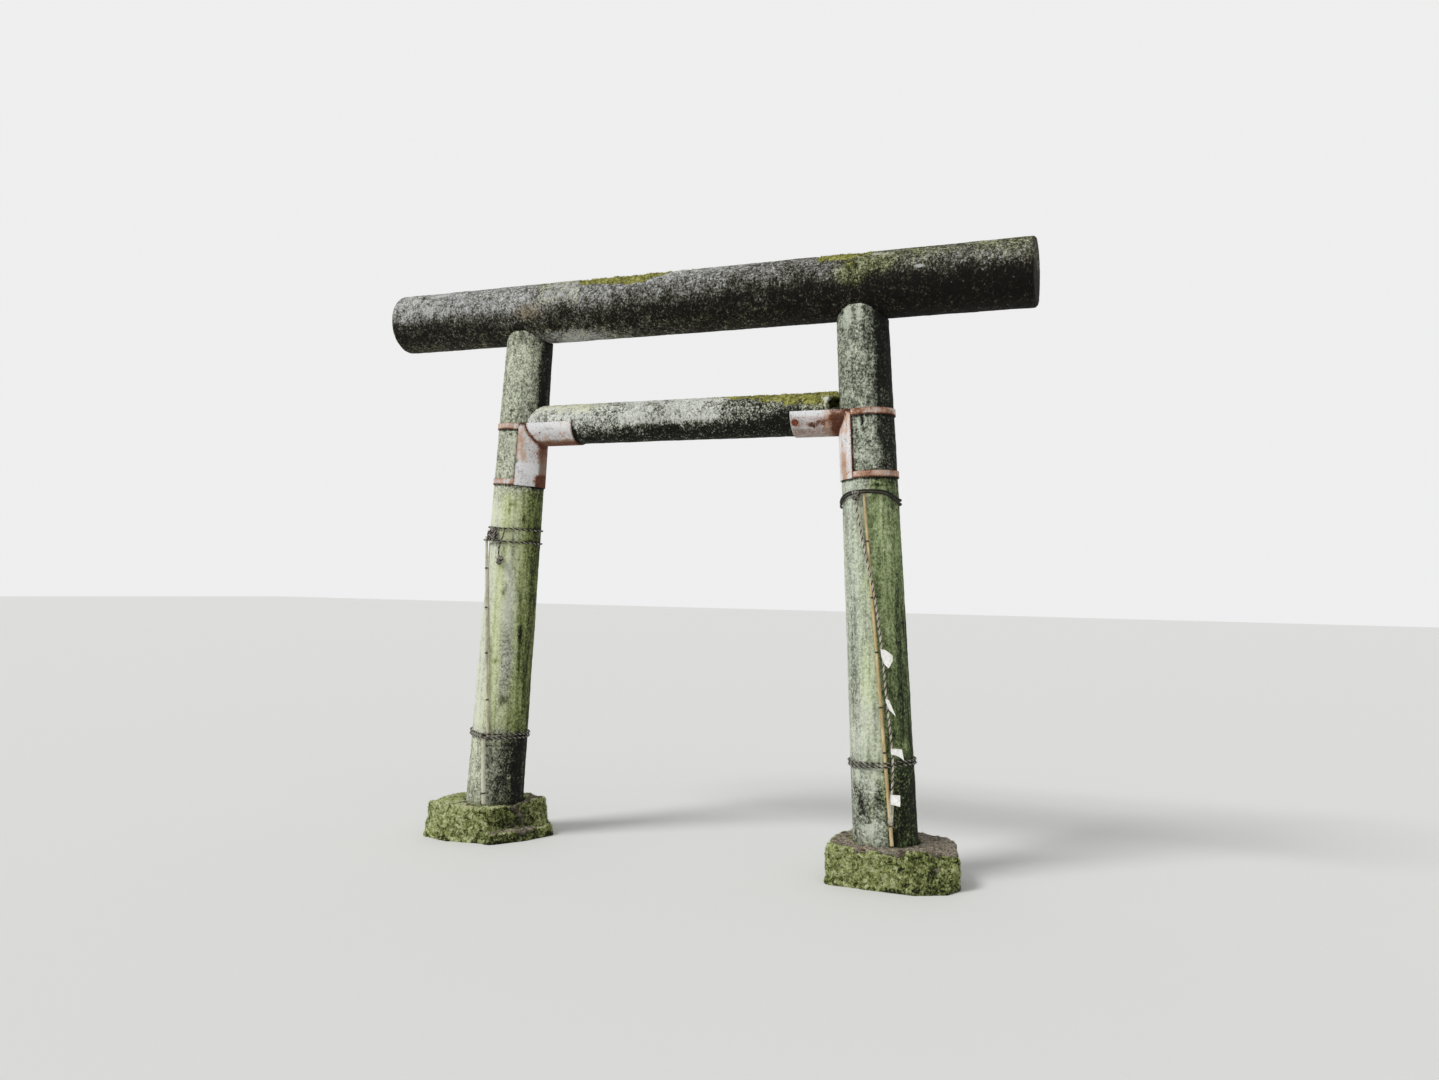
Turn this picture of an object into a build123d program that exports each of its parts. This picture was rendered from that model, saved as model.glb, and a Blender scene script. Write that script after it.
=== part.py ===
from build123d import *
import math
import os

# A small torii gate of round concrete logs on two rough base stones, standing by itself.
# +X runs along the lintel, -Y is the front, +Z is up. The origin is on the ground, midway
# between the posts. Sizes are in millimetres.

# Base stones, their outlines given as (angle round the post, reach beyond its foot) and the
# facets knocked off their upper edges as (angle, set in from the edge there, steepness)
stone_height = 185.0
stone_corner_radius = 38.0
stone_edge_chamfer = 16.0
left_draft = 7.0
right_draft = 1.0
ledge_height = 60.0
left_outline = [
    (-144, 200), (-115, 128), (-67, 84), (-23, 48), (19, 119), (48, 136), (99, 106), (140, 161), (178, 149),
]
left_ledge = [(-100, 70), (-62, 132), (-20, 108), (16, 168), (44, 150), (90, 60)]
left_facets = [(-136, 32, 34), (-90, 12, 66), (-12, 14, 60), (34, 40, 40), (118, 30, 48), (152, 40, 42)]
right_outline = [(-139, 163), (-82, 70), (-39, 204), (-8, 203), (30, 187), (75, 108), (130, 129), (177, 99)]
right_facets = [(-130, 24, 50), (-62, 9, 70), (-18, 118, 15), (-24, 24, 48), (8, 20, 62), (44, 40, 46), (120, 22, 54)]

# Posts, measured above the tops of the stones
post_spacing = 2096.0
post_lean = 3.34
post_foot_diameter = 302.0
post_head_diameter = 246.0
post_socket_depth = 70.0

# Lintel log, its axis measured above the tops of the stones
lintel_axis_height = 2568.0
lintel_diameter = 319.0
lintel_length = 3408.0
lintel_end_chamfer = 12.0
tenon_diameter = 120.0
tenon_height = 110.0

# Tie log, a pipe between the posts
tie_axis_height = 1970.0
tie_diameter = 211.0
tie_wall = 34.0

# Sheet steel brackets that cradle the tie
sheet_thickness = 4.0
bracket_drop = 322.0
bracket_reach = 345.0
post_shell_half_angle = 70.0
strap_width = 31.0
bolt_diameter = 12.0
bolt_head_diameter = 32.0
bolt_head_height = 9.0
bolt_length = 26.0
bolt_inset = 24.0
bolt_angle_below = 28.0
empty_hole_inset = 191.0
empty_hole_diameter = 13.0

# Damage: a chunk gone from the tie, a rusted bite in a bracket edge and a pit in a post
bite_radius = 14.0
bite_drop = 195.0
pit_drop = 58.0
pit_diameter = 20.0
pit_length = 52.0
pit_depth = 22.0
pit_turn = 4.0

# Cord lashings, canes and the hanging rope. Places beside a post are given as
# (height above the stone, angle round the post from the front, distance off its surface),
# and the upper lashings as drops below the brackets.
lashing_cord_diameter = 9.0
left_upper_drop = 228.0
left_loop_spacing = 68.0
left_lower_loops = (338.0, 356.0)
right_upper_drop = 91.0
right_loop_spacing = 21.0
right_lower_loops = (343.0, 360.0)
left_knot_drop = 34.0
left_knot_angle = -19.0
left_knot_width = 70.0
left_knot_height = 80.0
tail_length = 138.0
tail_knot_width = 34.0
tail_knot_height = 50.0
tail_turn = 24.0
right_knot_drop = 4.0
right_knot_angle = -13.0
right_knot_width = 35.0
right_knot_height = 38.0
cane_diameter = 15.0
cane_overrun = 18.0
left_cane_route = [(338, 10, 9.5), (600, -1, 11), (850, -12, 11), (1110, -27, 12), (1378, -48, 14)]
foot_cane_diameter = 24.0
foot_cane_foot = (0, 15, 34)
foot_cane_head = (368, 1, 13.5)
right_cane_foot = (0, 22.7, 13.5)
right_cane_head = (1.6, 10.5)
rope_diameter = 12.0
rope_route = [
    (1553, -14, 21.5),
    (1430, -8, 15),
    (1320, -1, 20),
    (1225, 6.5, 27),
    (1120, 12.5, 24),
    (985, 17.5, 16),
    (830, 22, 12),
    (680, 24.5, 10),
    (540, 28, 9),
    (425, 29.5, 22),
    (350, 29, 30),
    (270, 26.5, 30),
    (190, 23.5, 31),
    (95, 22, 31),
]
tie_cord_diameter = 4.0
tie_cord_height = 108.0
cord_spread = 3.5
knot_share = 0.3
paper_thickness = 1.0
paper_streamers = [
    (872, [(-4, 0), (16, -2), (60, -26), (60, -50), (38, -84), (14, -66), (0, -30)]),
    (648, [(-4, 0), (12, -2), (50, -72), (14, -46), (-2, -12)]),
    (432, [(-4, 0), (52, 2), (66, -44), (32, -32), (-2, -26)]),
    (232, [(-4, 0), (44, 4), (44, -46), (-2, -44)]),
]

# Named clearances
skin_gap = 0.3
cord_gap = 0.5
knot_gap = 0.8
socket_gap = 0.5

LEFT = -1
RIGHT = 1
lean = math.radians(post_lean)
lintel_z = stone_height + lintel_axis_height
lintel_radius = lintel_diameter / 2
tie_z = stone_height + tie_axis_height
tie_radius = tie_diameter / 2
foot_radius = post_foot_diameter / 2
head_radius = post_head_diameter / 2
head_length = lintel_axis_height / math.cos(lean)
taper = (foot_radius - head_radius) / head_length
shell_top = tie_axis_height / math.cos(lean)
shell_bottom = shell_top - bracket_drop
bracket_foot = shell_bottom * math.cos(lean)
left_upper_loops = (bracket_foot - left_upper_drop - left_loop_spacing, bracket_foot - left_upper_drop)
right_upper_loops = (bracket_foot - right_upper_drop - right_loop_spacing, bracket_foot - right_upper_drop)
left_knot_z = left_upper_loops[1] - left_knot_drop
right_knot_z = right_upper_loops[1] - right_knot_drop
far = lintel_length


def axis_x(side, z):
    """X of a post's axis at the height z above the ground."""
    return side * (post_spacing / 2 - (z - stone_height) * math.tan(lean))


def post_radius(length):
    """Radius of a post at a length along its axis from the stone's top."""
    return foot_radius - taper * length


def post_frame(side):
    """The post's own frame: its foot on the stone, local Z up the leaning axis."""
    return Pos(side * post_spacing / 2, 0, stone_height) * Rot(0, -side * post_lean, 0)


def post_cone(side, grown, low, high):
    """The post's surface grown by an offset, between two lengths along its axis."""
    cone = Cone(
        post_radius(low) + grown,
        post_radius(high) + grown,
        high - low,
        align=(Align.CENTER, Align.CENTER, Align.MIN),
    )
    return post_frame(side) * Pos(0, 0, low) * cone


def log_along_x(radius, length, z):
    """A round log along X, centred on the gate, with its axis at the height z."""
    return Pos(0, 0, z) * Rot(0, 90, 0) * Cylinder(radius, length)


def block(x_range, y_range, z_range):
    """A box given by its limits."""
    size = [high - low for low, high in (x_range, y_range, z_range)]
    corner = Pos(x_range[0], y_range[0], z_range[0])
    return corner * Box(*size, align=(Align.MIN, Align.MIN, Align.MIN))


def peg(point, direction, radius, length):
    """A round peg or cutter that starts at a point and runs along a direction."""
    start = Plane(origin=point, z_dir=direction)
    return start * Cylinder(radius, length, align=(Align.CENTER, Align.CENTER, Align.MIN))


# Base stones


def stone_section(side, outline, z, grown):
    """A level section of a base stone round its post, with worn corners."""
    corners = []
    for angle, reach in outline:
        radius = foot_radius + reach
        turn = math.radians(angle)
        corners.append((side * post_spacing / 2 + radius * math.cos(turn), radius * math.sin(turn)))
    face = make_face(Polyline(*corners, close=True))
    shortest = min(edge.length for edge in face.edges())
    face = fillet(face.vertices(), min(stone_corner_radius, 0.35 * shortest))
    if grown:
        face = offset(face, amount=grown, kind=Kind.INTERSECTION)
    return Pos(0, 0, z) * face


def drafted_block(side, outline, height, draft):
    """A block whose sides lean out to the ground, with its upper edge broken."""
    foot = (height - stone_edge_chamfer) * math.tan(math.radians(draft))
    sections = [
        stone_section(side, outline, 0, foot),
        stone_section(side, outline, height - stone_edge_chamfer, 0),
        stone_section(side, outline, height, -stone_edge_chamfer),
    ]
    return loft(sections, ruled=True)


def facet(side, outline, angle, inset, steepness):
    """The cutter that knocks a slanted facet off a stone's upper edge."""
    turn = math.radians(angle)
    nearest = min(outline, key=lambda corner: abs(corner[0] - angle))
    edge = foot_radius + nearest[1] - inset
    frame = Pos(side * post_spacing / 2 + edge * math.cos(turn), edge * math.sin(turn), stone_height)
    tilted = frame * Rot(0, 0, angle) * Rot(0, steepness, 0)
    return tilted * Box(far, far, far, align=(Align.MIN, Align.CENTER, Align.MIN))


def base_stone(side, outline, facets, draft, ledge=None):
    """A rough block with knocked-off edges and a socket for its post, on a ledge if it has one."""
    stone = drafted_block(side, outline, stone_height, draft)
    for place in facets:
        stone = stone - facet(side, outline, *place)
    if ledge:
        stone = stone + drafted_block(side, ledge, ledge_height, draft)
    floor = stone_height - post_socket_depth
    socket = post_cone(side, socket_gap, -2 * post_socket_depth, post_socket_depth)
    socket = socket & block((-far, far), (-far, far), (floor, lintel_z))
    return stone - socket


# Posts


def post(side):
    """A tapered leaning log, coped to the lintel, with a hidden tenon and a level foot."""
    floor = stone_height - post_socket_depth
    log = post_cone(side, 0, -2 * post_socket_depth, head_length)
    log = log & block((-far, far), (-far, far), (floor, lintel_z - head_radius / 2))
    log = log - log_along_x(lintel_radius + skin_gap, 2 * far, lintel_z)
    tenon_foot = lintel_z - lintel_radius - tenon_diameter
    tenon_top = lintel_z - lintel_radius + tenon_height
    centre = (axis_x(side, lintel_z - lintel_radius), 0, tenon_foot)
    log = log + peg(centre, (0, 0, 1), tenon_diameter / 2, tenon_top - tenon_foot)
    if side == RIGHT:
        log = log - surface_pit()
    return log


def surface_pit():
    """The comma-shaped pit below the strap on the right post, drawn out downwards."""
    length = shell_top - pit_drop
    out = post_radius(length)
    frame = post_frame(RIGHT) * Rot(0, 0, pit_turn - 90) * Pos(out, 0, length) * Rot(0, 90, 0)
    profile = make_hull((Circle(pit_diameter / 2) + Pos(pit_length / 2, 0) * Circle(pit_diameter / 5)).edges())
    return frame * extrude(profile, amount=-pit_depth, both=True)


# Lintel and tie


def lintel():
    """The round lintel log with chamfered ends and a blind socket over each post."""
    log = log_along_x(lintel_radius, lintel_length, lintel_z)
    log = chamfer(log.edges(), lintel_end_chamfer)
    for side in (LEFT, RIGHT):
        mouth = (axis_x(side, lintel_z - lintel_radius), 0, lintel_z - 2 * lintel_radius)
        depth = lintel_radius + tenon_height
        log = log - peg(mouth, (0, 0, 1), tenon_diameter / 2 + socket_gap, depth)
    return log


def tie():
    """The tie pipe, coped to both posts, with a chunk broken out at its right end."""
    pipe = log_along_x(tie_radius, 2 * axis_x(RIGHT, tie_z), tie_z)
    pipe = pipe - log_along_x(tie_radius - tie_wall, 2 * far, tie_z)
    for side in (LEFT, RIGHT):
        pipe = pipe - post_cone(side, skin_gap, shell_bottom, head_length)
        if side == RIGHT:
            for hand in (-1, 1):
                point, outward = bolt_seat(side, hand, bolt_inset, tie_radius + 1)
                pipe = pipe - peg(point, -outward, bolt_diameter / 2 + socket_gap, bolt_length)
    return pipe - broken_chunk()


def broken_chunk():
    """The ragged cutter for the chunk lost from the front of the tie beside the right post."""
    edge = axis_x(RIGHT, tie_z) - post_radius(shell_top)
    ragged = [(-33, 4), (-24, 26), (-42, 46), (-12, 66), (12, 58), (60, 70), (60, 20), (30, 6), (14, 20), (-8, 12)]
    corners = [(edge + along, 0, tie_z + up) for along, up in ragged]
    window = make_face(Polyline(*corners, close=True))
    window = Pos(0, -tie_radius / 4, 0) * window
    return extrude(window, amount=tie_radius, dir=(0, -1, 0))


# Brackets


def skin_profile(grown_in, grown_out, low, high):
    """A strip between two offsets of the post's surface, drawn in the post's own XZ plane."""
    corners = [
        (post_radius(low) + grown_in, 0, low),
        (post_radius(low) + grown_out, 0, low),
        (post_radius(high) + grown_out, 0, high),
        (post_radius(high) + grown_in, 0, high),
    ]
    return make_face(Polyline(*corners, close=True))


def skin(side, low, high, start, sweep):
    """Sheet bent round a post between two lengths, from a start angle off the gateway side."""
    strip = skin_profile(skin_gap, skin_gap + sheet_thickness, low, high)
    inward = 180 if side == RIGHT else 0
    bent = revolve(strip, axis=Axis.Z, revolution_arc=sweep)
    return post_frame(side) * Rot(0, 0, inward + start) * bent


def cradle_radius():
    """Outer radius of the half-pipe that holds the tie."""
    return tie_radius + skin_gap + sheet_thickness


def post_shell(side):
    """The upright half-pipe of a bracket, mitred to the half-pipe under the tie."""
    shell = skin(side, shell_bottom, shell_top, -post_shell_half_angle, 2 * post_shell_half_angle)
    shell = shell - log_along_x(cradle_radius() + skin_gap, 2 * far, tie_z)
    if side == LEFT:
        turn = math.radians(post_shell_half_angle)
        length = shell_top - bite_drop
        out = post_radius(length)
        centre = post_frame(side) * Pos(out * math.cos(turn), -out * math.sin(turn), length)
        shell = shell - centre * Sphere(bite_radius)
    return shell


def tie_shell(side):
    """The half-pipe under the tie, from the post out along the gateway."""
    pipe = log_along_x(cradle_radius(), 2 * far, tie_z)
    pipe = pipe - log_along_x(tie_radius + skin_gap, 2 * far, tie_z)
    inner = axis_x(RIGHT, tie_z) - bracket_reach
    x_range = (inner, axis_x(RIGHT, tie_z))
    if side == LEFT:
        x_range = (-axis_x(RIGHT, tie_z), -inner)
    pipe = pipe & block(x_range, (-tie_z, tie_z), (tie_z - 2 * tie_radius, tie_z))
    pipe = pipe - post_cone(side, skin_gap, shell_bottom, head_length)
    inset = bolt_inset if side == RIGHT else empty_hole_inset
    width = bolt_diameter + 2 * socket_gap if side == RIGHT else empty_hole_diameter
    for hand in (-1, 1):
        point, outward = bolt_seat(side, hand, inset, cradle_radius() + sheet_thickness)
        pipe = pipe - peg(point, -outward, width / 2, 3 * sheet_thickness)
    return pipe


def bolt_seat(side, hand, inset, radius):
    """A point beside the tie and the way out of it; hand is -1 at the front and 1 at the back."""
    turn = math.radians(bolt_angle_below)
    outward = Vector(0, hand * math.cos(turn), -math.sin(turn))
    x = side * (axis_x(RIGHT, tie_z) - bracket_reach + inset)
    return Vector(x, 0, tie_z) + outward * radius, outward


def bracket_bolts(side):
    """Rusted bolts that pin the half-pipe to the tie, one on each face."""
    bolts = []
    for hand in (-1, 1):
        seat, outward = bolt_seat(side, hand, bolt_inset, cradle_radius() + skin_gap)
        head = peg(seat, outward, bolt_head_diameter / 2, bolt_head_height)
        rims = head.edges().filter_by(GeomType.CIRCLE).sort_by(lambda rim: (rim.arc_center - seat).length)
        head = fillet(rims[-1], bolt_head_height / 2)
        shank = peg(seat, -outward, bolt_diameter / 2, bolt_length)
        bolts.append(head + shank)
    return Compound(children=bolts)


def strap(side, low):
    """A flat strap round the outside of a post, butted to both edges of the post shell."""
    return skin(side, low, low + strap_width, post_shell_half_angle, 360 - 2 * post_shell_half_angle)


# Canes


def polar_point(side, height, angle, stand_off):
    """A point beside a post: height above the stone, angle from the front, distance off its surface."""
    length = height / math.cos(lean)
    radius = post_radius(length) + stand_off
    turn = math.radians(angle)
    x = axis_x(side, stone_height + height) + radius * math.sin(turn)
    return Vector(x, -radius * math.cos(turn), stone_height + height)


def straight_cane(foot, head, diameter):
    """A straight cane between two points, cut level at its foot to stand on the stone."""
    along = (head - foot).normalized()
    cane = peg(foot - along * diameter, along, diameter / 2, (head - foot).length + diameter)
    return cane & block((-far, far), (-far, far), (foot.Z, lintel_z))


# Cord lashings


def to_post(side, point):
    """A point moved from the gate's frame into the post's own frame."""
    moved = post_frame(side).inverse() * Pos(point.X, point.Y, point.Z)
    return Vector(moved.position)


def rod_section(side, rod, length):
    """Where a straight rod, given by two points, crosses a plane square to the post."""
    low, high = [to_post(side, point) for point in rod]
    share = (length - low.Z) / (high.Z - low.Z)
    return low + (high - low) * share


def taut_loop(frame, wide_radius, centre, rod_radius, cord):
    """A closed loop of cord, taut round a circle on the frame's origin and a rod beside it."""
    around = wide_radius + cord_gap + cord / 2
    over = rod_radius + cord_gap + cord / 2
    reach = math.hypot(centre.X, centre.Y)
    facing = math.degrees(math.atan2(centre.Y, centre.X))
    spread = math.degrees(math.acos((around - over) / reach))
    wide = CenterArc((0, 0), around, facing + spread, 360 - 2 * spread)
    tight = CenterArc((centre.X, centre.Y), over, facing - spread, 2 * spread)
    path = Wire([wide, Line(wide @ 1, tight @ 0), tight, Line(tight @ 1, wide @ 0)])
    start = Plane(origin=path @ 0, z_dir=path % 0)
    return frame * sweep(start * Circle(cord / 2), path=path)


def post_loop(side, height, rod=None, rod_diameter=0):
    """A loop of cord square to a post, round it alone or over a rod beside it too."""
    length = height / math.cos(lean)
    frame = post_frame(side) * Pos(0, 0, length)
    cord = lashing_cord_diameter
    if rod is None:
        return frame * Torus(post_radius(length) + cord_gap + cord / 2, cord / 2)
    centre = rod_section(side, rod, length)
    return taut_loop(frame, post_radius(length), centre, rod_diameter / 2, cord)


def knot(side, height, angle, width, depth):
    """A wound knot, a squat rounded lump that bears on the post's surface."""
    lump = Cylinder(width / 2, depth)
    lump = fillet(lump.edges().filter_by(GeomType.CIRCLE), min(width, depth) / 4)
    centre = polar_point(side, height, angle, knot_share * width)
    length = height / math.cos(lean)
    lump = Pos(centre.X, centre.Y, centre.Z) * lump
    return lump - post_cone(side, knot_gap, length - 2 * depth, length + 2 * depth)


def knot_tail(side, height, angle, length):
    """A short end of cord that hangs from a knot and ends in a knot of its own."""
    stand_off = cord_gap + lashing_cord_diameter
    top = polar_point(side, height, angle, stand_off)
    bottom = polar_point(side, height - length, angle, stand_off)
    strand = peg(top, bottom - top, lashing_cord_diameter / 2, (bottom - top).length)
    return strand + knot(side, height - length, angle, tail_knot_width, tail_knot_height)


def left_upper_lashing(cane):
    """Two loops, one over the cane's head, with the knot between them and its tail."""
    low, high = left_upper_loops
    lashing = post_loop(LEFT, low, cane[-2:], cane_diameter) + post_loop(LEFT, high)
    lashing = lashing + knot(LEFT, left_knot_z, left_knot_angle, left_knot_width, left_knot_height)
    return lashing + knot_tail(LEFT, left_knot_z, left_knot_angle + tail_turn, tail_length)


def left_lower_lashing(foot_cane):
    """Two loops over the head of the foot cane, which stands proud of the long one."""
    low, high = left_lower_loops
    loops = [post_loop(LEFT, height, foot_cane, foot_cane_diameter + 2 * cord_spread) for height in (low, high)]
    return Compound(children=loops)


def right_upper_lashing(cane):
    """Two loops over the cane with the knot that the rope hangs from."""
    lashing = knot(RIGHT, right_knot_z, right_knot_angle, right_knot_width, right_knot_height)
    for loop_height in right_upper_loops:
        lashing = lashing + post_loop(RIGHT, loop_height, cane, cane_diameter)
    return lashing


def right_lower_lashing(cane):
    """Two loops over the cane, behind the rope."""
    return Compound(children=[post_loop(RIGHT, height, cane, cane_diameter) for height in right_lower_loops])


# Rope and paper


def rope_points():
    """The rope's route down the right post, over the cane and back to the cane's foot."""
    return [polar_point(RIGHT, *place) for place in rope_route]


def eased_path(points):
    """Straight runs joined by arcs as large as the runs allow."""
    radii = []
    for before, here, after in zip(points, points[1:], points[2:]):
        turn = math.radians((here - before).get_angle(after - here))
        shorter = min((here - before).length, (after - here).length)
        radii.append(0.45 * shorter / math.tan(turn / 2))
    return FilletPolyline(*points, radius=radii)


def round_sweep(points, diameter):
    """A round rod or rope along an eased path."""
    path = eased_path(points)
    start = Plane(origin=path @ 0, z_dir=path % 0)
    return sweep(start * Circle(diameter / 2), path=path)


def rope():
    """The hanging rope, cut level just under the knot that holds it."""
    under_knot = stone_height + right_knot_z - right_knot_height / 2 - skin_gap
    whole = round_sweep(rope_points(), rope_diameter)
    return whole & block((-far, far), (-far, far), (0, under_knot))


def rope_tie(cane):
    """The thin cord that ties the rope's end to the cane's foot."""
    foot, head = cane
    share = tie_cord_height / (head.Z - foot.Z)
    centre = foot + (head - foot) * share
    rope = rope_points()
    low, high = rope[-1], rope[-2]
    beside = low + (high - low) * ((centre.Z - low.Z) / (high.Z - low.Z))
    frame = Pos(centre.X, centre.Y, centre.Z)
    return taut_loop(frame, cane_diameter / 2, beside - centre, rope_diameter / 2, tie_cord_diameter)


def rope_at(path, height):
    """The middle of the rope at a height above the stone; the rope only ever descends."""
    upper, lower = 0.0, 1.0
    for _ in range(24):
        middle = (upper + lower) / 2
        if (path @ middle).Z > stone_height + height:
            upper = middle
        else:
            lower = middle
    return path @ upper


def paper(path, height, outline):
    """A folded paper streamer, flat to the front, its upper corner against the front of the rope."""
    left_edge_foot = outline[-1][1]
    behind = [rope_at(path, height + left_edge_foot * share) for share in (0, 0.25, 0.5, 0.75, 1)]
    front = min(point.Y for point in behind) - rope_diameter / 2 - cord_gap
    corners = [(behind[0].X + along, front, behind[0].Z + up) for along, up in outline]
    sheet = make_face(Polyline(*corners, close=True))
    return extrude(sheet, amount=paper_thickness, dir=(0, -1, 0))


def papers():
    """The white paper streamers on the rope."""
    path = eased_path(rope_points())
    return Compound(children=[paper(path, height, outline) for height, outline in paper_streamers])


# The gate


def gate():
    """Every piece of the gate under its name."""
    left_cane = [polar_point(LEFT, *place) for place in left_cane_route]
    foot_cane = [polar_point(LEFT, *foot_cane_foot), polar_point(LEFT, *foot_cane_head)]
    right_cane_top = right_upper_loops[1] + cane_overrun
    right_cane = [polar_point(RIGHT, *right_cane_foot), polar_point(RIGHT, right_cane_top, *right_cane_head)]
    pieces = {
        "left_base_stone": base_stone(LEFT, left_outline, left_facets, left_draft, left_ledge),
        "right_base_stone": base_stone(RIGHT, right_outline, right_facets, right_draft),
        "lintel_log": lintel(),
        "tie_log": tie(),
        "left_foot_cane": straight_cane(*foot_cane, foot_cane_diameter),
        "left_long_cane": round_sweep(left_cane, cane_diameter),
        "right_cane": straight_cane(*right_cane, cane_diameter),
        "left_upper_lashing": left_upper_lashing(left_cane),
        "left_lower_lashing": left_lower_lashing(foot_cane),
        "right_upper_lashing": right_upper_lashing(right_cane),
        "right_lower_lashing": right_lower_lashing(right_cane),
        "right_rope": rope(),
        "right_rope_tie": rope_tie(right_cane),
        "paper_streamers": papers(),
        "right_bracket_bolts": bracket_bolts(RIGHT),
    }
    for side, word in ((LEFT, "left"), (RIGHT, "right")):
        pieces[word + "_post"] = post(side)
        pieces[word + "_bracket_post_shell"] = post_shell(side)
        pieces[word + "_bracket_tie_shell"] = tie_shell(side)
        pieces[word + "_upper_strap"] = strap(side, shell_top - strap_width)
        pieces[word + "_lower_strap"] = strap(side, shell_bottom)
    return pieces


os.makedirs("parts", exist_ok=True)
for name, shape in gate().items():
    export_step(shape, "parts/" + name + ".step")
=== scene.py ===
from math import cos, hypot, pi, radians, sin, tan

import bpy
import numpy as np
from mathutils import Matrix, Vector, noise
from mathutils.geometry import convex_hull_2d


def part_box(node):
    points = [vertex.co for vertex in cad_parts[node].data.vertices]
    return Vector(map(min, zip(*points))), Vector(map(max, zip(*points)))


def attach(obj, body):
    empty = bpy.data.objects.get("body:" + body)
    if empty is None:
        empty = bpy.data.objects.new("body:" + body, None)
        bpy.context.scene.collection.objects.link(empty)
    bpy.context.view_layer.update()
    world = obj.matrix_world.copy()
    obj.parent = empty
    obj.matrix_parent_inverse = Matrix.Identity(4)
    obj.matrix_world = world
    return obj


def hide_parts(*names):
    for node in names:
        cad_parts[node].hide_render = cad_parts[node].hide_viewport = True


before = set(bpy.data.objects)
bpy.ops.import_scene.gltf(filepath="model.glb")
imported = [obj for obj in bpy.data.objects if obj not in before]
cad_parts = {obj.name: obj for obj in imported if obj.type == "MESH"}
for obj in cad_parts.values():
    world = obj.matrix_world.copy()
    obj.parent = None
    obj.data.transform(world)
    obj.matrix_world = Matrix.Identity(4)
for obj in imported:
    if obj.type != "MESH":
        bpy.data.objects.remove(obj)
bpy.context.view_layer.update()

# A torii gate of round concrete logs, dressed. Metres, in the frame of the solids:
# +X along the lintel, -Y the front, +Z up, the ground at z = 0.

rng = np.random.default_rng(11)

# Sizes of the gate, as in the solids
SPACING = 2.096
LEAN = radians(3.34)
STONE_TOP = 0.185
FOOT_R = 0.151
TAPER = 0.028 / (2.568 / cos(LEAN))
LINTEL_Z, LINTEL_R = 2.753, 0.1595
TIE_Z, TIE_R = 2.155, 0.1055
SHELL_TOP = 1.97 / cos(LEAN)
SHELL_BOTTOM = SHELL_TOP - 0.322
SHELL_HALF = radians(70)
TIE_SHELL = 0.345
STRAP = 0.031
SHEET, GAP = 0.004, 0.0003
CRADLE_R = TIE_R + GAP + SHEET
CORD, CANE_R = 0.009, 0.0075
LEFT, RIGHT = -1, 1
SIDES = ((LEFT, "left"), (RIGHT, "right"))

# Numbers at each vertex that a finish reads by name
LOG_FIELDS = ("algae", "crust", "black", "moss", "stain", "calm")

# Faces of a blade of moss and of a fibre of cord, both closed spikes
BLADE_FACES = ((0, 1, 3), (1, 2, 3), (2, 0, 3), (0, 2, 1))
FIBRE_FACES = ((0, 1, 4, 3), (1, 2, 5, 4), (2, 0, 3, 5), (3, 4, 6), (4, 5, 6), (5, 3, 6), (2, 1, 0))


# Small tools


def smooth(value, low, high):
    """0 below low, 1 above high, eased between."""
    t = np.clip((np.asarray(value, float) - low) / (high - low), 0.0, 1.0)
    return t * t * (3.0 - 2.0 * t)


def fade(value, low, high):
    """1 below low, 0 above high, eased between."""
    return 1.0 - smooth(value, low, high)


def span(value, a, b, c, d):
    """0 below a, 1 from b to c, 0 above d, eased between."""
    return smooth(value, a, b) * fade(value, c, d)


def band(value, low, high, soft):
    """1 between low and high, eased over soft outside them."""
    return span(value, low - soft, low, high, high + soft)


def patch(u, v, u0, v0, du, dv):
    """A soft round patch in two measures."""
    return np.exp(-(((u - u0) / du) ** 2 + ((v - v0) / dv) ** 2))


def spots(u, v, *places):
    """The sum of soft patches, each given as (u, v, wide, tall, weight)."""
    return sum(place[4] * patch(u, v, *place[:4]) for place in places)


def rough(points, scale, octaves, seed):
    """Fractal noise, about -1 to 1, at points (n, 3)."""
    return np.array([noise.fractal(p, 1.0, 2.0, octaves) for p in np.asarray(points) * scale + seed])


def wobble(x, y, z):
    return noise.noise(Vector((x, y, z)))


def axis_x(side, z):
    """X of a post's axis at a height above the ground."""
    return side * (SPACING / 2 - (z - STONE_TOP) * tan(LEAN))


def post_r(length):
    """A post's radius at a length along its axis from the stone's top."""
    return FOOT_R - TAPER * length


def post_matrix(side):
    """From the post's own frame to the gate's."""
    foot = Matrix.Translation((side * SPACING / 2, 0, STONE_TOP))
    return foot @ Matrix.Rotation(-side * LEAN, 4, "Y")


def on_post(side, radius, turn, length):
    """A point round a post's axis, at a turn from +X and a length from the stone's top."""
    return post_matrix(side) @ Vector((radius * cos(turn), radius * sin(turn), length))


def moved(matrix, points):
    """Points (n, 3) through a 4x4 matrix."""
    m = np.array(matrix)
    return np.asarray(points) @ m[:3, :3].T + m[:3, 3]


def joined(parts):
    """Several (vertices, faces) as one."""
    verts, faces, start = [], [], 0
    for v, f in parts:
        verts.append(np.asarray(v))
        faces += [tuple(i + start for i in face) for face in f]
        start += len(v)
    return np.concatenate(verts), faces


def read(items, key, width=3):
    """A property of all vertices or faces of a mesh, a row for each."""
    values = np.empty(len(items) * width, np.float32)
    items.foreach_get(key, values)
    return values.reshape(-1, width).astype(float)


def new_object(name, data):
    thing = bpy.data.objects.new(name, data)
    bpy.context.scene.collection.objects.link(thing)
    return thing


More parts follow.
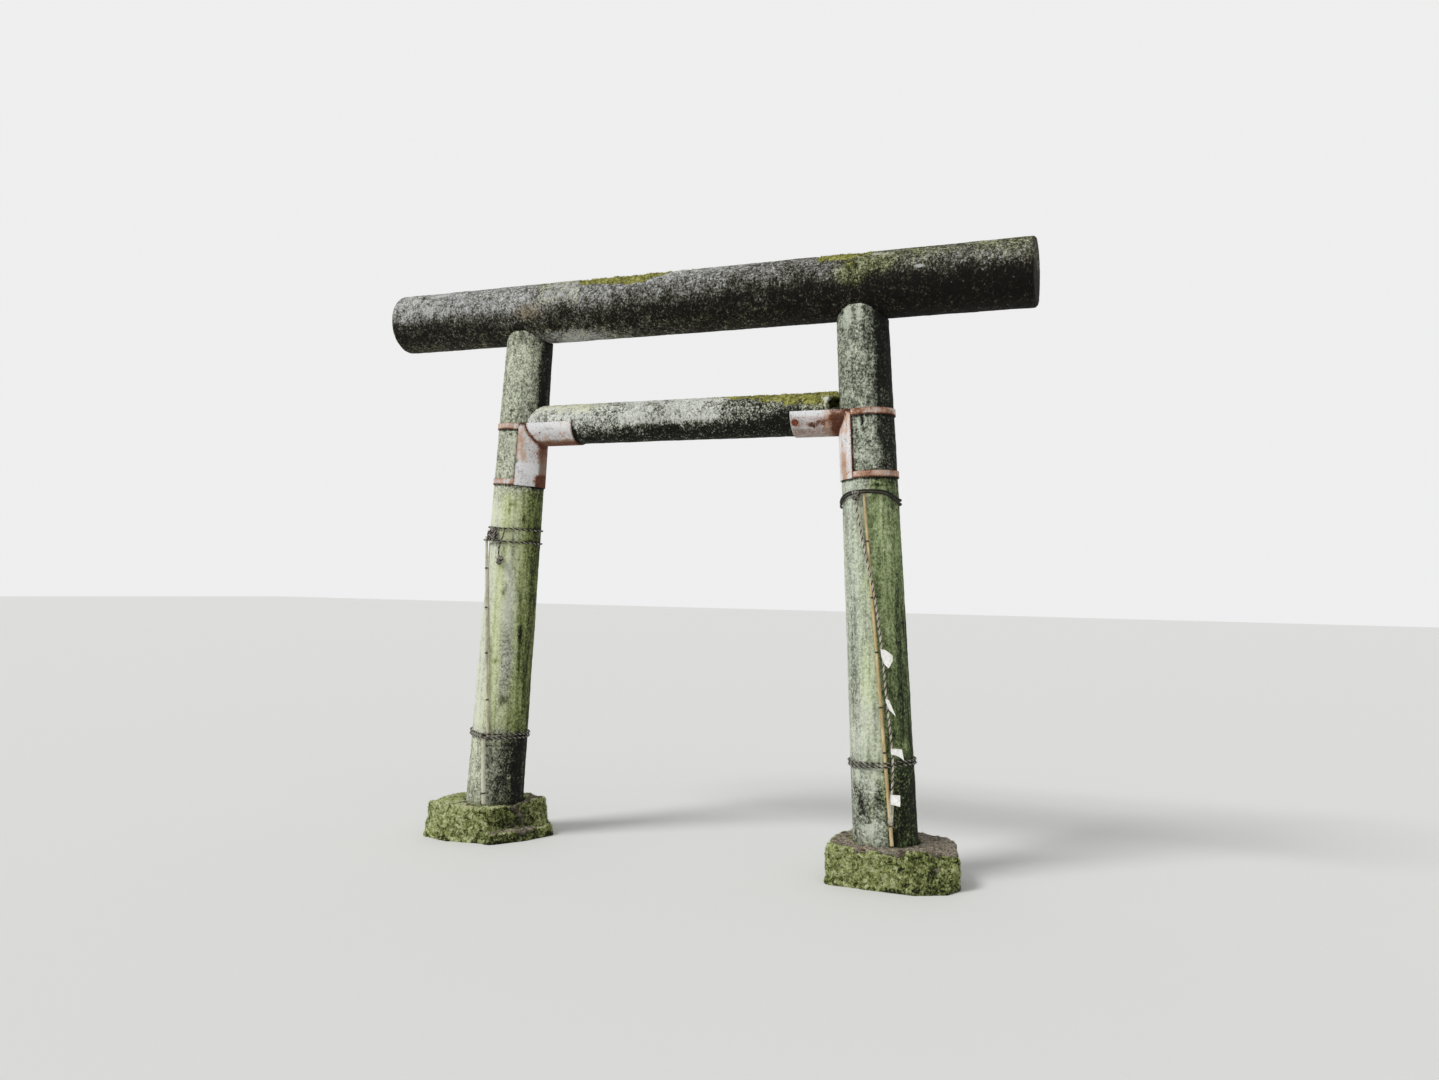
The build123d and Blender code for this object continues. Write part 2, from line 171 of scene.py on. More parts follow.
def dress(piece, finish, slot, nodes):
    """Gives a piece its finish and the body, and hides the nodes it stands for; the slot is not used."""
    piece.data.materials.clear()
    piece.data.materials.append(finish)
    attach(piece, "root")
    if nodes:
        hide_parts(*nodes)
    return piece


def new_piece(name, shape, finish, slot, *nodes, flat=False):
    """A dressed piece from vertices and faces."""
    mesh = bpy.data.meshes.new(name)
    mesh.from_pydata([tuple(v) for v in shape[0]], [], [tuple(f) for f in shape[1]])
    mesh.validate()
    mesh.update()
    if not flat:
        mesh.shade_smooth()
    return dress(new_object(name, mesh), finish, slot, nodes)


def add_field(piece, name, values):
    """A number for each vertex, which the finish reads by name."""
    layer = piece.data.attributes.new(name, "FLOAT", "POINT")
    layer.data.foreach_set("value", np.asarray(values, np.float32))


# Finishes


def tint(code):
    """A colour given as it shows on a screen, as six hexadecimal digits."""
    channels = []
    for value in bytes.fromhex(code):
        share = value / 255.0
        channels.append(share / 12.92 if share <= 0.04045 else ((share + 0.055) / 1.055) ** 2.4)
    return (*channels, 1.0)


def add_node(tree, kind, inputs=(), **settings):
    """A node with its settings; an input is a number, a colour's code or another node's output."""
    node = tree.nodes.new(kind)
    for key, value in settings.items():
        setattr(node, key, value)
    for key, value in dict(inputs).items():
        if isinstance(value, bpy.types.NodeSocket):
            tree.links.new(value, node.inputs[key])
        else:
            node.inputs[key].default_value = tint(value) if isinstance(value, str) else value
    return node


class Finish:
    """A material built from nodes, with short calls for the usual ones."""

    def __init__(self, name, roughness, shine=0.5):
        self.material = bpy.data.materials.new(name)
        self.material.use_nodes = True
        self.tree = self.material.node_tree
        self.shader = self.tree.nodes["Principled BSDF"]
        self.at = self.add("ShaderNodeTexCoord").outputs["Object"]
        self.shader.inputs["Roughness"].default_value = roughness
        self.shader.inputs["Specular IOR Level"].default_value = shine

    def add(self, kind, inputs=(), **settings):
        return add_node(self.tree, kind, inputs, **settings)

    def maths(self, operation, first, second, third=0.0):
        inputs = {0: first, 1: second, 2: third}
        return self.add("ShaderNodeMath", inputs, operation=operation).outputs[0]

    def plus(self, *terms):
        """The sum of (value, weight) terms and plain numbers."""
        total = 0.0
        for term in terms:
            if isinstance(term, tuple):
                total = self.maths("MULTIPLY_ADD", *term, total)
            else:
                total = self.maths("ADD", total, term)
        return total

    def times(self, first, second):
        return self.maths("MULTIPLY", first, second)

    def step(self, value, low, high):
        inputs = {"Value": value, "From Min": low, "From Max": high}
        return self.add("ShaderNodeMapRange", inputs, interpolation_type="SMOOTHSTEP").outputs["Result"]

    def stretched(self, stretch):
        if stretch is None:
            return self.at
        return self.add("ShaderNodeVectorMath", {0: self.at, 1: stretch}, operation="MULTIPLY").outputs[0]

    def noise(self, scale, detail, roughness, warp=0.0, stretch=None):
        at = self.stretched(stretch)
        inputs = {"Vector": at, "Scale": scale, "Detail": detail, "Roughness": roughness, "Distortion": warp}
        return self.add("ShaderNodeTexNoise", inputs).outputs["Fac"]

    def cells(self, scale, stretch=None):
        return self.add("ShaderNodeTexVoronoi", {"Vector": self.stretched(stretch), "Scale": scale})

    def ramp(self, value, stops):
        node = self.add("ShaderNodeValToRGB", {"Fac": value})
        elements = node.color_ramp.elements
        while len(elements) < len(stops):
            elements.new(0.5)
        for element, (place, code) in zip(elements, stops.items()):
            element.position = place
            element.color = tint(code)
        return node.outputs["Color"]

    def mix(self, factor, first, second):
        node = self.add("ShaderNodeMix", data_type="RGBA", inputs={0: factor, 6: first, 7: second})
        return node.outputs[2]

    def field(self, name):
        return self.add("ShaderNodeAttribute", attribute_name=name).outputs["Fac"]

    def link(self, socket, value):
        self.tree.links.new(value, self.shader.inputs[socket])

    def done(self, colour, height, distance, strength=1.0):
        """The material, with its colour and its fine relief."""
        node = self.add("ShaderNodeBump", {"Height": height, "Distance": distance, "Strength": strength})
        self.link("Normal", node.outputs["Normal"])
        self.link("Base Color", colour)
        return self.material

    def pits(self, scale, size, share):
        """1 inside scattered small round pits, 0 elsewhere."""
        node = self.cells(scale)
        inside = self.step(node.outputs["Distance"], size, size * 0.6)
        pick = self.add("ShaderNodeSeparateColor", {"Color": node.outputs["Color"]}).outputs[0]
        return self.times(inside, self.step(pick, 1.0 - share, 1.0 - share + 0.02))


def concrete(name, greys, greens, contrast=1.0, places=(0.05, 0.24, 0.4, 0.55, 0.72, 0.92)):
    """Weathered concrete: one speckled scale from black growth through grey to pale lichen.

    Fields: crust (paler), black (darker), algae (greener), stain (rusty), moss and calm (smoother).
    """
    f = Finish(name, 0.93, 0.22)
    greys, greens = greys.split(), greens.split()
    grain = f.noise(78.0, 9, 0.82)
    spotted = f.noise(29.0, 8, 0.78, warp=0.5)
    blotch = f.noise(5.5, 5, 0.6)
    runs = f.noise(1.0, 6, 0.66, stretch=(34.0, 34.0, 2.6))
    fine = f.noise(230.0, 4, 0.75)
    dots = f.cells(120.0, stretch=(1.0, 1.0, 0.7)).outputs["Distance"]
    calm, crust = f.field("calm"), f.field("crust")
    speckle = f.plus((grain, 2.3), (spotted, 1.35), (blotch, 0.45), (runs, 0.62), (fine, 0.85))
    speckle = f.times(f.plus(speckle, (dots, -0.42), -2.59), f.plus((calm, -0.5), contrast))
    streaks = f.plus((f.times(calm, runs), 0.7), (calm, -0.35))
    tone = f.plus((crust, 0.4), (f.field("black"), -0.5), speckle, streaks, 0.5)
    film = f.plus(f.field("algae"), (runs, 1.2), (blotch, 0.9), (grain, 0.8), -1.45)
    grey, green = (f.ramp(tone, dict(zip(places, codes))) for codes in (greys, greens))
    colour = f.mix(f.step(film, 0.2, 0.8), grey, green)
    lichen = f.plus((crust, 0.3), f.noise(27.0, 8, 0.76, warp=0.7), (dots, 0.06))
    lichen = f.step(lichen, 0.7, 0.735)
    colour = f.mix(f.times(lichen, 0.75), colour, f.mix(f.step(fine, 0.38, 0.62), *greys[-2:]))
    stains = f.plus(f.field("stain"), (grain, 1.2), (spotted, 0.8), -1.0)
    stained = f.mix(f.step(grain, 0.42, 0.58), "584a34", "b09e7c")
    colour = f.mix(f.times(f.step(stains, 0.15, 0.85), 0.5), colour, stained)
    pits = f.pits(58.0, 0.17, 0.16)
    colour = f.mix(f.times(pits, 0.8), colour, "161610")
    cushion = f.noise(150.0, 5, 0.75)
    clumps = f.noise(52.0, 6, 0.78, warp=0.5)
    mossy = f.plus(f.field("moss"), grain, (spotted, 0.6), (cushion, 0.4), -1.0)
    mossy = f.step(mossy, 0.4, 0.52)
    tufted = f.plus((clumps, 1.9), (cushion, 0.7), (spotted, 0.7), -1.15)
    moss = f.ramp(tufted, {0.26: "3a3816", 0.48: "929246", 0.74: "d2d080"})
    relief = f.plus((grain, 0.6), (spotted, 0.35), (fine, 0.16), (lichen, 0.08), (pits, -0.4))
    return f.done(f.mix(mossy, colour, moss), f.plus(relief, f.times(mossy, clumps)), 0.009)


# The logs and stones: the solids' own shapes, with a skin of fine relief


def weathered(name, node, voxel, finish, slot, relief, paint):
    """A dense copy of a solid, its skin moved by relief(points), with the fields of paint on it."""
    draft = new_object(name + "_draft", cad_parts[node].data.copy())
    modifier = draft.modifiers.new("voxels", "REMESH")
    modifier.mode = "VOXEL"
    modifier.voxel_size = voxel * 1.0
    modifier.use_smooth_shade = True
    graph = bpy.context.evaluated_depsgraph_get()
    mesh = bpy.data.meshes.new_from_object(draft.evaluated_get(graph))
    bpy.data.objects.remove(draft)
    mesh.name = name
    points, outward = read(mesh.vertices, "co"), read(mesh.vertices, "normal")
    points = np.clip(points + outward * relief(points)[:, None], *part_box(node))
    mesh.vertices.foreach_set("co", points.astype(np.float32).ravel())
    mesh.update()
    mesh.shade_smooth()
    piece = new_object(name, mesh)
    fields = paint(points, outward)
    for key in LOG_FIELDS:
        add_field(piece, key, fields.get(key, np.zeros(len(points))))
    return dress(piece, finish, slot, [node])


def log_relief(points):
    """Shallow unevenness of a cast log, always inward."""
    return -0.0026 + 0.0014 * rough(points, 5.0, 2, 3.0) + 0.0013 * rough(points, 30.0, 4, 9.0)


def hollows(points, mossy, depth):
    """How far the skin sinks between the cushions of a moss cover."""
    return -depth * smooth(mossy, 0.3, 0.8) * fade(rough(points, 26.0, 3, 77.0), -0.35, 0.45)


def level_log(points, z0, radius):
    """X, y and the height over a level log's axis in radii."""
    x, y, z = points.T
    return x, y, (z - z0) / radius


# Lintel


def lintel_relief(points):
    x, y, up = level_log(points, LINTEL_Z, LINTEL_R)
    turn = np.arctan2(points[:, 2] - LINTEL_Z, -y)
    flake = span(x, -1.524, -1.518, -1.47, -1.34) * patch(turn, x, 0.75, -1.45, 0.42, 0.2)
    dents = hollows(points, lintel_moss(points), 0.008)
    return log_relief(points) + dents - 0.007 * flake * (y < 0) * (np.abs(up) < 1)


def lintel_moss(points):
    x, y, up = level_log(points, LINTEL_Z, LINTEL_R)
    reach = np.interp(
        x, (-0.64, -0.56, -0.43, -0.2, -0.1, 0.1, 0.3, 0.64, 0.72, 0.84, 0.96, 1.04),
        (1.3, 0.7, 0.56, 0.5, 0.76, 0.94, 1.3, 1.3, 0.72, 0.6, 0.74, 1.3),
    )
    crest = smooth(up + 0.14 * rough(points, 12.0, 3, 21.0) - reach, -0.06, 0.1)
    back = 0.6 * smooth(y, -0.02, 0.05) * smooth(up, 0.8, 0.95)
    return np.maximum(crest, back) + 0.5 * patch(x, up, 0.88, 0.45, 0.05, 0.3)


def lintel_paint(points, outward):
    x, y, up = level_log(points, LINTEL_Z, LINTEL_R)
    front = y < 0

    edge = np.interp(
        x, (-1.7, -1.2, -0.9, -0.74, -0.64, -0.45, 0.0, 0.45, 0.93, 1.34, 1.7),
        (-0.2, -0.28, -0.36, -0.2, -0.02, -0.18, -0.14, 0.0, 0.06, 0.04, 0.0),
    )
    below = smooth(edge + 0.07 * rough(points, 6.0, 3, 15.0) - up, -0.28, 0.34)
    depth = np.interp(
        x, (-1.7, -0.95, -0.8, -0.5, 0.2, 0.8, 1.2), (0.72, 0.68, 0.58, 0.76, 0.84, 0.98, 1.1))
    lighter = spots(x, up, (-0.62, -0.98, 0.22, 0.26, 1), (-0.15, -1.0, 0.35, 0.14, 0.45))
    lighter += 0.42 * patch(x, up, 0.9, -0.05, 0.075, 0.36) * front
    middle = 0.3 * span(x, -0.5, -0.05, 0.55, 0.8) * patch(up, 0, 0.24, 0, 0.34, 1)
    right = 0.34 * smooth(x, 0.45, 0.95) - 0.14 * patch(x, up, 1.25, 0.35, 0.5, 0.45)
    # Painted shade: the end faces of the lintel are made darker.
    end = 0.25 * (np.abs(outward[:, 0]) > 0.7)
    crack = patch(x, up, -1.522, 0.62, 0.006, 0.3) * front
    black = depth * below + (right + middle) * (1 - below) - 0.62 * lighter + end + 0.5 * crack

    pale = 0.52 * span(x, -0.8, -0.72, -0.545, -0.535) * smooth(up, -0.1, 0.3)
    pale += 0.3 * span(x, -0.55, -0.5, 0.1, 0.7) * smooth(up, 0.0, 0.4)
    pale += 0.36 * fade(x, -0.85, -0.75) * smooth(up, -0.35, 0.2)
    pale += 0.18 * smooth(x, 0.9, 1.1) * smooth(up, 0.0, 0.4)
    pale += spots(x, up, (-0.6, -0.96, 0.24, 0.22, 0.5), (-0.2, -0.8, 0.45, 0.1, 0.2))
    chips = ((1.204, 0.17, 0.022, 0.05, 1.4), (1.02, 0.72, 0.06, 0.08, 0.56), (-1.4, 0.75, 0.06, 0.06, 0.9))
    pale += spots(x, up, *chips) * front

    green = 0.42 * span(x, -0.86, -0.74, -0.545, -0.53) * smooth(up, -0.3, 0.2)
    green += 0.5 * patch(x, up, 0.98, 0.35, 0.14, 0.4) + 0.35 * smooth(x, 0.7, 1.1) * smooth(up, -0.1, 0.3)
    green += 0.75 * patch(x, up, 0.9, 0.05, 0.075, 0.36) * front
    green += 0.3 * smooth(-up, 0.3, 0.7) * fade(x, 0.5, 0.9) + 0.2 * smooth(up, 0.3, 0.9)
    return {
        "black": np.clip(black, -0.1, 1.3),
        "crust": pale,
        "algae": green,
        "moss": lintel_moss(points),
        "stain": spots(x, up, (-0.83, -0.12, 0.09, 0.32, 0.8), (-0.45, -0.35, 0.25, 0.25, 0.15)),
    }


# Posts. h is the height above the stone's top, and turn goes from the front towards +X in degrees.


def post_places(side, points):
    x, y, z = points.T
    return z - STONE_TOP, np.degrees(np.arctan2(x - axis_x(side, z), -y))


def turned_away(turn, middle):
    """Degrees between two turns, 0 to 180."""
    return np.abs((turn - middle + 180.0) % 360.0 - 180.0)


def facing(turn, middle, half, soft):
    """1 where the turn lies within half of middle, eased over soft degrees."""
    return fade(turned_away(turn, middle), half - soft, half + soft)


def along(side, points):
    """Distance along a post's leaning axis, from the stone's top."""
    return moved(post_matrix(side).inverted(), points)[:, 2]


def bracket_shadow_lines(side, points, turn):
    """Painted shadow: dark lines on a post just below its straps and beside the rims of its bracket's shell.
    """
    length = along(side, points)
    under = band(length, SHELL_BOTTOM - 0.006, SHELL_BOTTOM, 0.006)
    under += band(length, SHELL_TOP - 0.037, SHELL_TOP - STRAP, 0.006)
    beside = band(turned_away(turn, -90 * side), 69.5, 71.5, 1.6)
    return under + beside * band(length, SHELL_BOTTOM, SHELL_TOP - 0.03, 0.004)


def post_moss(points, h, turn, tall, seed):
    """A little moss round the foot of a post."""
    ragged = 0.02 * rough(points, 24.0, 2, seed)
    return 0.34 * fade(h + ragged, 0.0, tall) * facing(turn, 0, 120, 30)


def left_paint(points, outward):
    h, turn = post_places(LEFT, points)
    upper = smooth(h, 1.57, 1.82)
    dark = facing(turn, 150, 86, 9) * upper + 0.4 * facing(turn, 142, 80, 22) * (1 - upper)
    dark += fade(h, 0.29, 0.36) * (0.04 + 0.46 * facing(turn, 92, 66, 20))
    dark -= facing(turn, -25, 68, 28) * (0.36 - 0.16 * smooth(h, 1.6, 1.72))
    dark -= 0.32 * facing(turn, -50, 46, 16) * band(h, 0.38, 1.5, 0.1)
    dark -= 0.2 * facing(turn, 4, 30, 14) * smooth(h, 1.95, 2.1)
    # The spot at a height of 2.44 darkens the top of the post under the lintel: painted shade.
    dark += spots(
        turn, h, (21, 1.108, 4, 0.022, 0.9), (16, 1.082, 3, 0.018, 0.9), (60, 0.87, 4.5, 0.055, 1.1),
        (33, 0.53, 7, 0.022, 0.9), (20, 1.545, 8, 0.012, 0.7), (14, 1.515, 3, 0.02, 0.7),
        (49, 1.47, 5, 0.02, 0.6), (34, 0.7, 14, 0.1, 0.3), (10, 0.73, 5, 0.02, 0.6),
        (0, 0.95, 4, 0.3, 0.35), (-14, 1.2, 3, 0.2, 0.3), (20, 2.44, 60, 0.05, 0.35),
    )
    # Painted shadow: thin dark lines just below the turns of the lashings, tilted with the post.
    slope = 0.0075 * np.sin(np.radians(turn))
    dark += sum(0.45 * patch(h, 0, place + slope, 0, 0.008, 1) for place in (0.329, 1.343, 1.411))

    green = 0.56 + 0.36 * facing(turn, 115, 68, 20) + 0.24 * facing(turn, 8, 12, 8)
    green = (green - 0.3 * facing(turn, -45, 36, 14)) * span(h, 0.27, 0.43, 1.57, 1.69)
    grey = ((34, 0.72, 15, 0.16, 0.5), (29, 1.02, 14, 0.14, 0.42), (22, 1.22, 10, 0.08, 0.25))
    green += 0.14 * smooth(h, 1.67, 1.77) + 0.2 * (h < 0.32) - spots(turn, h, *grey)

    pale = 0.18 * span(h, 0.32, 0.52, 1.87, 2.07) + 0.16 * smooth(h, 1.97, 2.17)
    pale += spots(
        turn, h, (28, 1.02, 13, 0.16, 0.6), (36, 0.72, 14, 0.14, 0.34), (5, 1.8, 22, 0.12, 0.4),
        (-12, 1.12, 16, 0.4, 0.15), (-25, 0.19, 18, 0.12, 0.34), (22, 1.22, 9, 0.07, 0.35),
    )
    return {
        "calm": band(h, 0.4, 1.56, 0.1) * (0.95 - 0.7 * patch(turn, h, 38, 0.7, 16, 0.15)),
        # The black field also takes painted shadow lines under the straps and beside the bracket's shell.
        "black": dark + 0.7 * bracket_shadow_lines(LEFT, points, turn),
        "crust": pale * (1 - 0.8 * facing(turn, 150, 80, 20)),
        "algae": green,
        "moss": post_moss(points, h, turn, 0.035, 33.0),
    }


def right_paint(points, outward):
    h, turn = post_places(RIGHT, points)
    edge = np.interp(
        h, (0.17, 0.64, 1, 1.27, 1.47, 1.63, 1.75, 1.87, 2.37), (20, 18, 10, 5, 3, 16, 42, 33, 42))

    def beyond(soft):
        """1 on the dark green side of the post, which begins at the edge."""
        return facing(turn, 110 + edge / 2, 110 - edge / 2, soft)

    strength = np.interp(
        h, (0.07, 0.3, 0.52, 0.87, 1.0, 1.15, 1.5, 1.62, 1.72, 2.37),
        (0.68, 0.62, 0.36, 0.3, 0.26, 0.1, 0.02, 0.24, 0.66, 1.0),
    )
    body = span(h, 0.3, 0.42, 1.6, 1.7)
    dark = beyond(9) * strength + 0.16 * facing(turn, 115, 60, 20) * (h < 1.67)
    dark += smooth(h, 1.92, 2.02) * (0.3 * facing(turn, -42, 36, 16) + 0.3 * facing(turn, 29, 13, 8))
    dark -= 0.2 * body * (1 - beyond(9)) + 0.1 * body
    dark += spots(
        turn, h, (-40, 0.77, 7, 0.16, 0.35), (-46, 0.22, 9, 0.04, 0.4), (-30, 0.16, 10, 0.06, 0.85),
        (-18, 0.11, 8, 0.035, 0.5), (8, 0.19, 9, 0.045, 0.85), (35, 0.955, 5, 0.03, -0.5),
        (60, 0.44, 6, 0.03, -0.6), (31, 0.092, 10, 0.03, -0.35), (33, 1.613, 18, 0.006, 0.5),
        (30, 1.64, 16, 0.005, 0.5), (3.5, 1.925, 2.6, 0.012, 1.3), (2, 1.9, 2.6, 0.016, 1.3),
        (5.5, 1.874, 3, 0.011, 1.2), (-2, 2.4, 5, 0.03, 0.7), (14, 2.37, 4, 0.03, 0.7),
        (-38, 0.95, 6, 0.2, 0.25), (-44, 0.62, 6, 0.1, 0.25),
    )

    lower = fade(h, 1.61, 1.69)
    green = 0.34 * lower + 0.4 * beyond(14) * lower + 0.12 * (1 - lower)
    green += 0.22 * patch(turn, h, -8, 0.75, 13, 0.45) - 0.22 * facing(turn, -50, 26, 10) * lower

    pale = 0.28 * smooth(h, 1.69, 1.77) + 0.2 * patch(turn, h, -30, 2.27, 22, 0.2)
    pale += lower * (0.26 + 0.12 * fade(h, 0.47, 0.77))
    pale = pale * (1 - 0.75 * beyond(12)) + spots(
        turn, h, (-17, 0.061, 16, 0.035, 0.6), (-8, 0.26, 10, 0.05, 0.4), (-15, 0.57, 14, 0.12, 0.3),
        (-4, 1.9, 3, 0.03, 0.8), (8, 1.91, 3, 0.025, 0.7), (-22, 2.4, 10, 0.05, 0.7),
        (6, 2.42, 6, 0.04, 0.8), (-30, 1.6, 24, 0.045, 0.35), (8, 1.74, 55, 0.05, 0.35),
        (-40, 0.29, 14, 0.04, 0.4),
    )
    return {
        "calm": band(h, 0.4, 1.56, 0.1) * (0.95 - 0.7 * patch(turn, h, -40, 0.75, 9, 0.35)),
        # The black field also takes painted shadow lines under the straps and beside the bracket's shell.
        "black": np.clip(dark + 0.7 * bracket_shadow_lines(RIGHT, points, turn), -0.4, 1.2),
        "crust": pale,
        "algae": green,
        "moss": post_moss(points, h, turn, 0.03, 35.0),
    }


# Tie


def tie_moss(points):
    x, y, up = level_log(points, TIE_Z, TIE_R)
    edge = np.interp(x, (-0.8, -0.5, -0.3, 0.1, 0.35, 0.6, 0.8), (0.94, 0.96, 1.05, 1.0, 0.68, 0.34, 0.26))
    cover = smooth(up + 0.16 * rough(points, 14.0, 3, 5.0) - edge, -0.12, 0.14)
    holes = 0.55 * smooth(rough(points, 34.0, 3, 51.0), 0.05, 0.4)
    return cover - holes - 1.6 * patch(x, up, 0.762, 0.52, 0.02, 0.14) * (y < 0)


def tie_relief(points):
    return 0.8 * log_relief(points) + hollows(points, tie_moss(points), 0.006)


def tie_paint(points, outward):
    x, y, up = level_log(points, TIE_Z, TIE_R)
    z = points[:, 2]
    edge = np.interp(
        x, (-0.8, -0.5, -0.2, 0.0, 0.15, 0.35, 0.6, 0.8),
        (-0.56, -0.52, -0.34, -0.28, -0.36, -0.2, 0.04, 0.16),
    )
    dark = smooth(edge + 0.12 * rough(points, 11.0, 3, 44.0) - up, -0.3, 0.38)
    # Painted shade: faces that lie inside the log's round skin, at its ends and its broken place, go black.
    dark += smooth(-np.hypot(y, z - TIE_Z), -0.092, -0.088)
    # Painted shadow: a dark line on the tie's lower half just beyond the cut end of the left shell.
    dark += 0.8 * band(x, -0.586, -0.574, 0.006) * fade(up, 0.0, 0.15)
    dark -= 0.3 * fade(x, -0.62, -0.4) * smooth(up, -0.3, 0.1)
    dim = spots(
        x, up, (-0.09, 0.2, 0.09, 0.7, 0.34), (-0.3, -0.12, 0.07, 0.2, 0.3), (-0.35, -0.14, 0.012, 0.1, 0.3))
    dark += (dim + 0.06 * smooth(x, 0.22, 0.34)) * (y < 0)

    pale = 0.5 * span(x, -0.42, -0.25, 0.16, 0.3) * fade(-up, 0.1, 0.5)
    pale += 0.36 * fade(x, -0.45, -0.3) * smooth(up, -0.4, 0.1) + 0.1
    green = 0.36 * fade(x, -0.5, -0.3) * smooth(up, -0.1, 0.6)
    green += 0.45 * smooth(x, 0.15, 0.5) * smooth(up, -0.2, 0.4) + 0.2 * smooth(up, 0.5, 0.9)
    return {
        "calm": 0.7 * fade(x, -0.56, -0.46) * smooth(z, TIE_Z, TIE_Z + 0.03),
        "black": dark,
        "crust": pale + 1.5 * patch(x, up, 0.762, 0.52, 0.014, 0.1) * (y < 0),
        "algae": green,
        "moss": tie_moss(points),
    }


# Base stones


def stone_relief(points):
    coarse = 0.007 * rough(points, 7.0, 3, 40.0) + 0.0085 * rough(points, 24.0, 4, 12.0)
    return (coarse - 0.009) * smooth(points[:, 2], 0.006, 0.03)


def stone_moss(points, outward):
    x, y, z = points.T
    right = x > 0
    bare_top = smooth(outward[:, 2], 0.75, 0.95) * np.where(right, 0.85, 0.55 - 0.35 * (x < -1.15))
    rim = 0.5 * np.exp(-(((z - STONE_TOP + 0.012) / 0.02) ** 2)) * right * (x > 0.95)
    dark_end = np.where(right, 0.42 * smooth(x, 1.05, 1.25), 0.35 * smooth(x, -1.02, -0.85))
    return np.clip(1.05 + 0.55 * rough(points, 9.0, 3, 61.0) - bare_top - dark_end - rim, 0, 1.2)


def stone_paint(points, outward):
    x, y, z = points.T
    left_side = 1.2 * smooth(x, -1.04, -0.9) * (1 - 0.4 * smooth(x, -0.86, -0.8))
    side = np.where(x > 0, 0.62 * smooth(x, 0.98, 1.22), left_side) * fade(outward[:, 2], 0.5, 0.9)
    dark = 0.35 * fade(z, 0.0, 0.05) + side + 0.45 * rough(points, 16.0, 3, 8.0)
    return {"moss": stone_moss(points, outward), "black": dark - 0.75 * smooth(z, 0.15, 0.18) - 0.15}


def stone_finish():
    """Rough stone under moss, with needle litter on its top. Black darkens the moss too."""
    f = Finish("mossy_stone", 0.95, 0.2)
    blotch = f.noise(9.0, 5, 0.65)
    grain = f.noise(80.0, 8, 0.8)
    cushion = f.noise(64.0, 7, 0.78, warp=0.3)
    fine = f.noise(240.0, 4, 0.75)
    black = f.field("black")
    rock = f.plus((blotch, 0.4), (grain, 1.6), (cushion, 0.8), -0.92)
    rock = f.ramp(rock, {0.28: "363228", 0.46: "746e5e", 0.66: "bab6a4"})
    litter = f.step(f.noise(60.0, 7, 0.85, stretch=(1.0, 3.4, 1.0)), 0.5, 0.56)
    needles = f.plus((f.noise(30.0, 8, 0.84, warp=1.4, stretch=(1.0, 3.0, 1.0)), 3.4), grain, -1.7)
    needles = f.ramp(needles, {0.16: "2c2018", 0.46: "8e7560", 0.74: "ecdeca"})
    mossy = f.step(f.plus(f.field("moss"), (grain, 1.1), (blotch, 0.4), -0.75), 0.34, 0.5)
    clumps = f.noise(36.0, 6, 0.8, warp=0.6)
    tone = f.plus((cushion, 2.6), (clumps, 3.0), (fine, 0.9), (blotch, 0.5), (black, -0.3), -2.95)
    moss = f.ramp(tone, {
        0.08: "1a1e0e", 0.28: "4e562a", 0.46: "8c9654",
        0.62: "bcc480", 0.84: "e2e6b8",
    })
    skin = f.mix(mossy, f.mix(litter, rock, needles), moss)
    dark = f.step(f.plus(black, (grain, 1.2), -0.75), 0.25, 0.75)
    colour = f.mix(f.times(dark, 0.62), skin, f.mix(0.5, "222212", skin))
    cushions = f.times(mossy, f.plus(cushion, (clumps, 0.8)))
    return f.done(colour, f.plus((grain, 0.6), cushions, (fine, 0.2)), 0.014)


def tufts(name, node, count, length, pick, finish, slot):
    """Short closed blades of moss over the faces that pick(points, normals) chooses."""
    sides = logs[name].data.polygons
    centres, outward = read(sides, "center"), read(sides, "normal")
    weight = np.clip(pick(centres, outward), 0, None) * read(sides, "area", 1)[:, 0]
    chosen = rng.choice(len(weight), size=count // 1, p=weight / weight.sum())
    parts = []
    for index in chosen:
        n = Vector(outward[index])
        jitter = Vector(rng.normal(0, 0.003, 3))
        root = Vector(centres[index]) + jitter - n * (jitter.dot(n) + 0.0008)
        for _ in range(3):
            tip = (n + Vector(rng.normal(0, 0.7, 3)) * 0.8).normalized() * length * rng.uniform(0.5, 1.1)
            across = tip.cross(n if abs(tip.normalized().dot(n)) < 0.98 else Vector((1, 0, 0)))
            across = across.normalized() * length * 0.16
            other = tip.cross(across).normalized() * length * 0.12
            parts.append(([root - across, root + across, root + other, root + tip], BLADE_FACES))
    verts, faces = joined(parts)
    new_piece(name + "_moss", (np.clip(verts, *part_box(node)), faces), finish, slot, flat=True)


def moss_finish(name, deep, mid, bright):
    """The blades of moss, greener or yellower from place to place."""
    f = Finish(name, 0.8, 0.25)
    tone = f.plus((f.noise(14.0, 4, 0.6), 0.7), (f.noise(48.0, 5, 0.75), 2.1), -1.2)
    tone = f.plus((f.noise(210.0, 3, 0.7), 0.6), tone)
    return f.done(f.ramp(tone, {0.32: deep, 0.5: mid, 0.68: bright}), f.noise(600.0, 2, 0.5), 0.001, 0.5)


# Sheet steel brackets


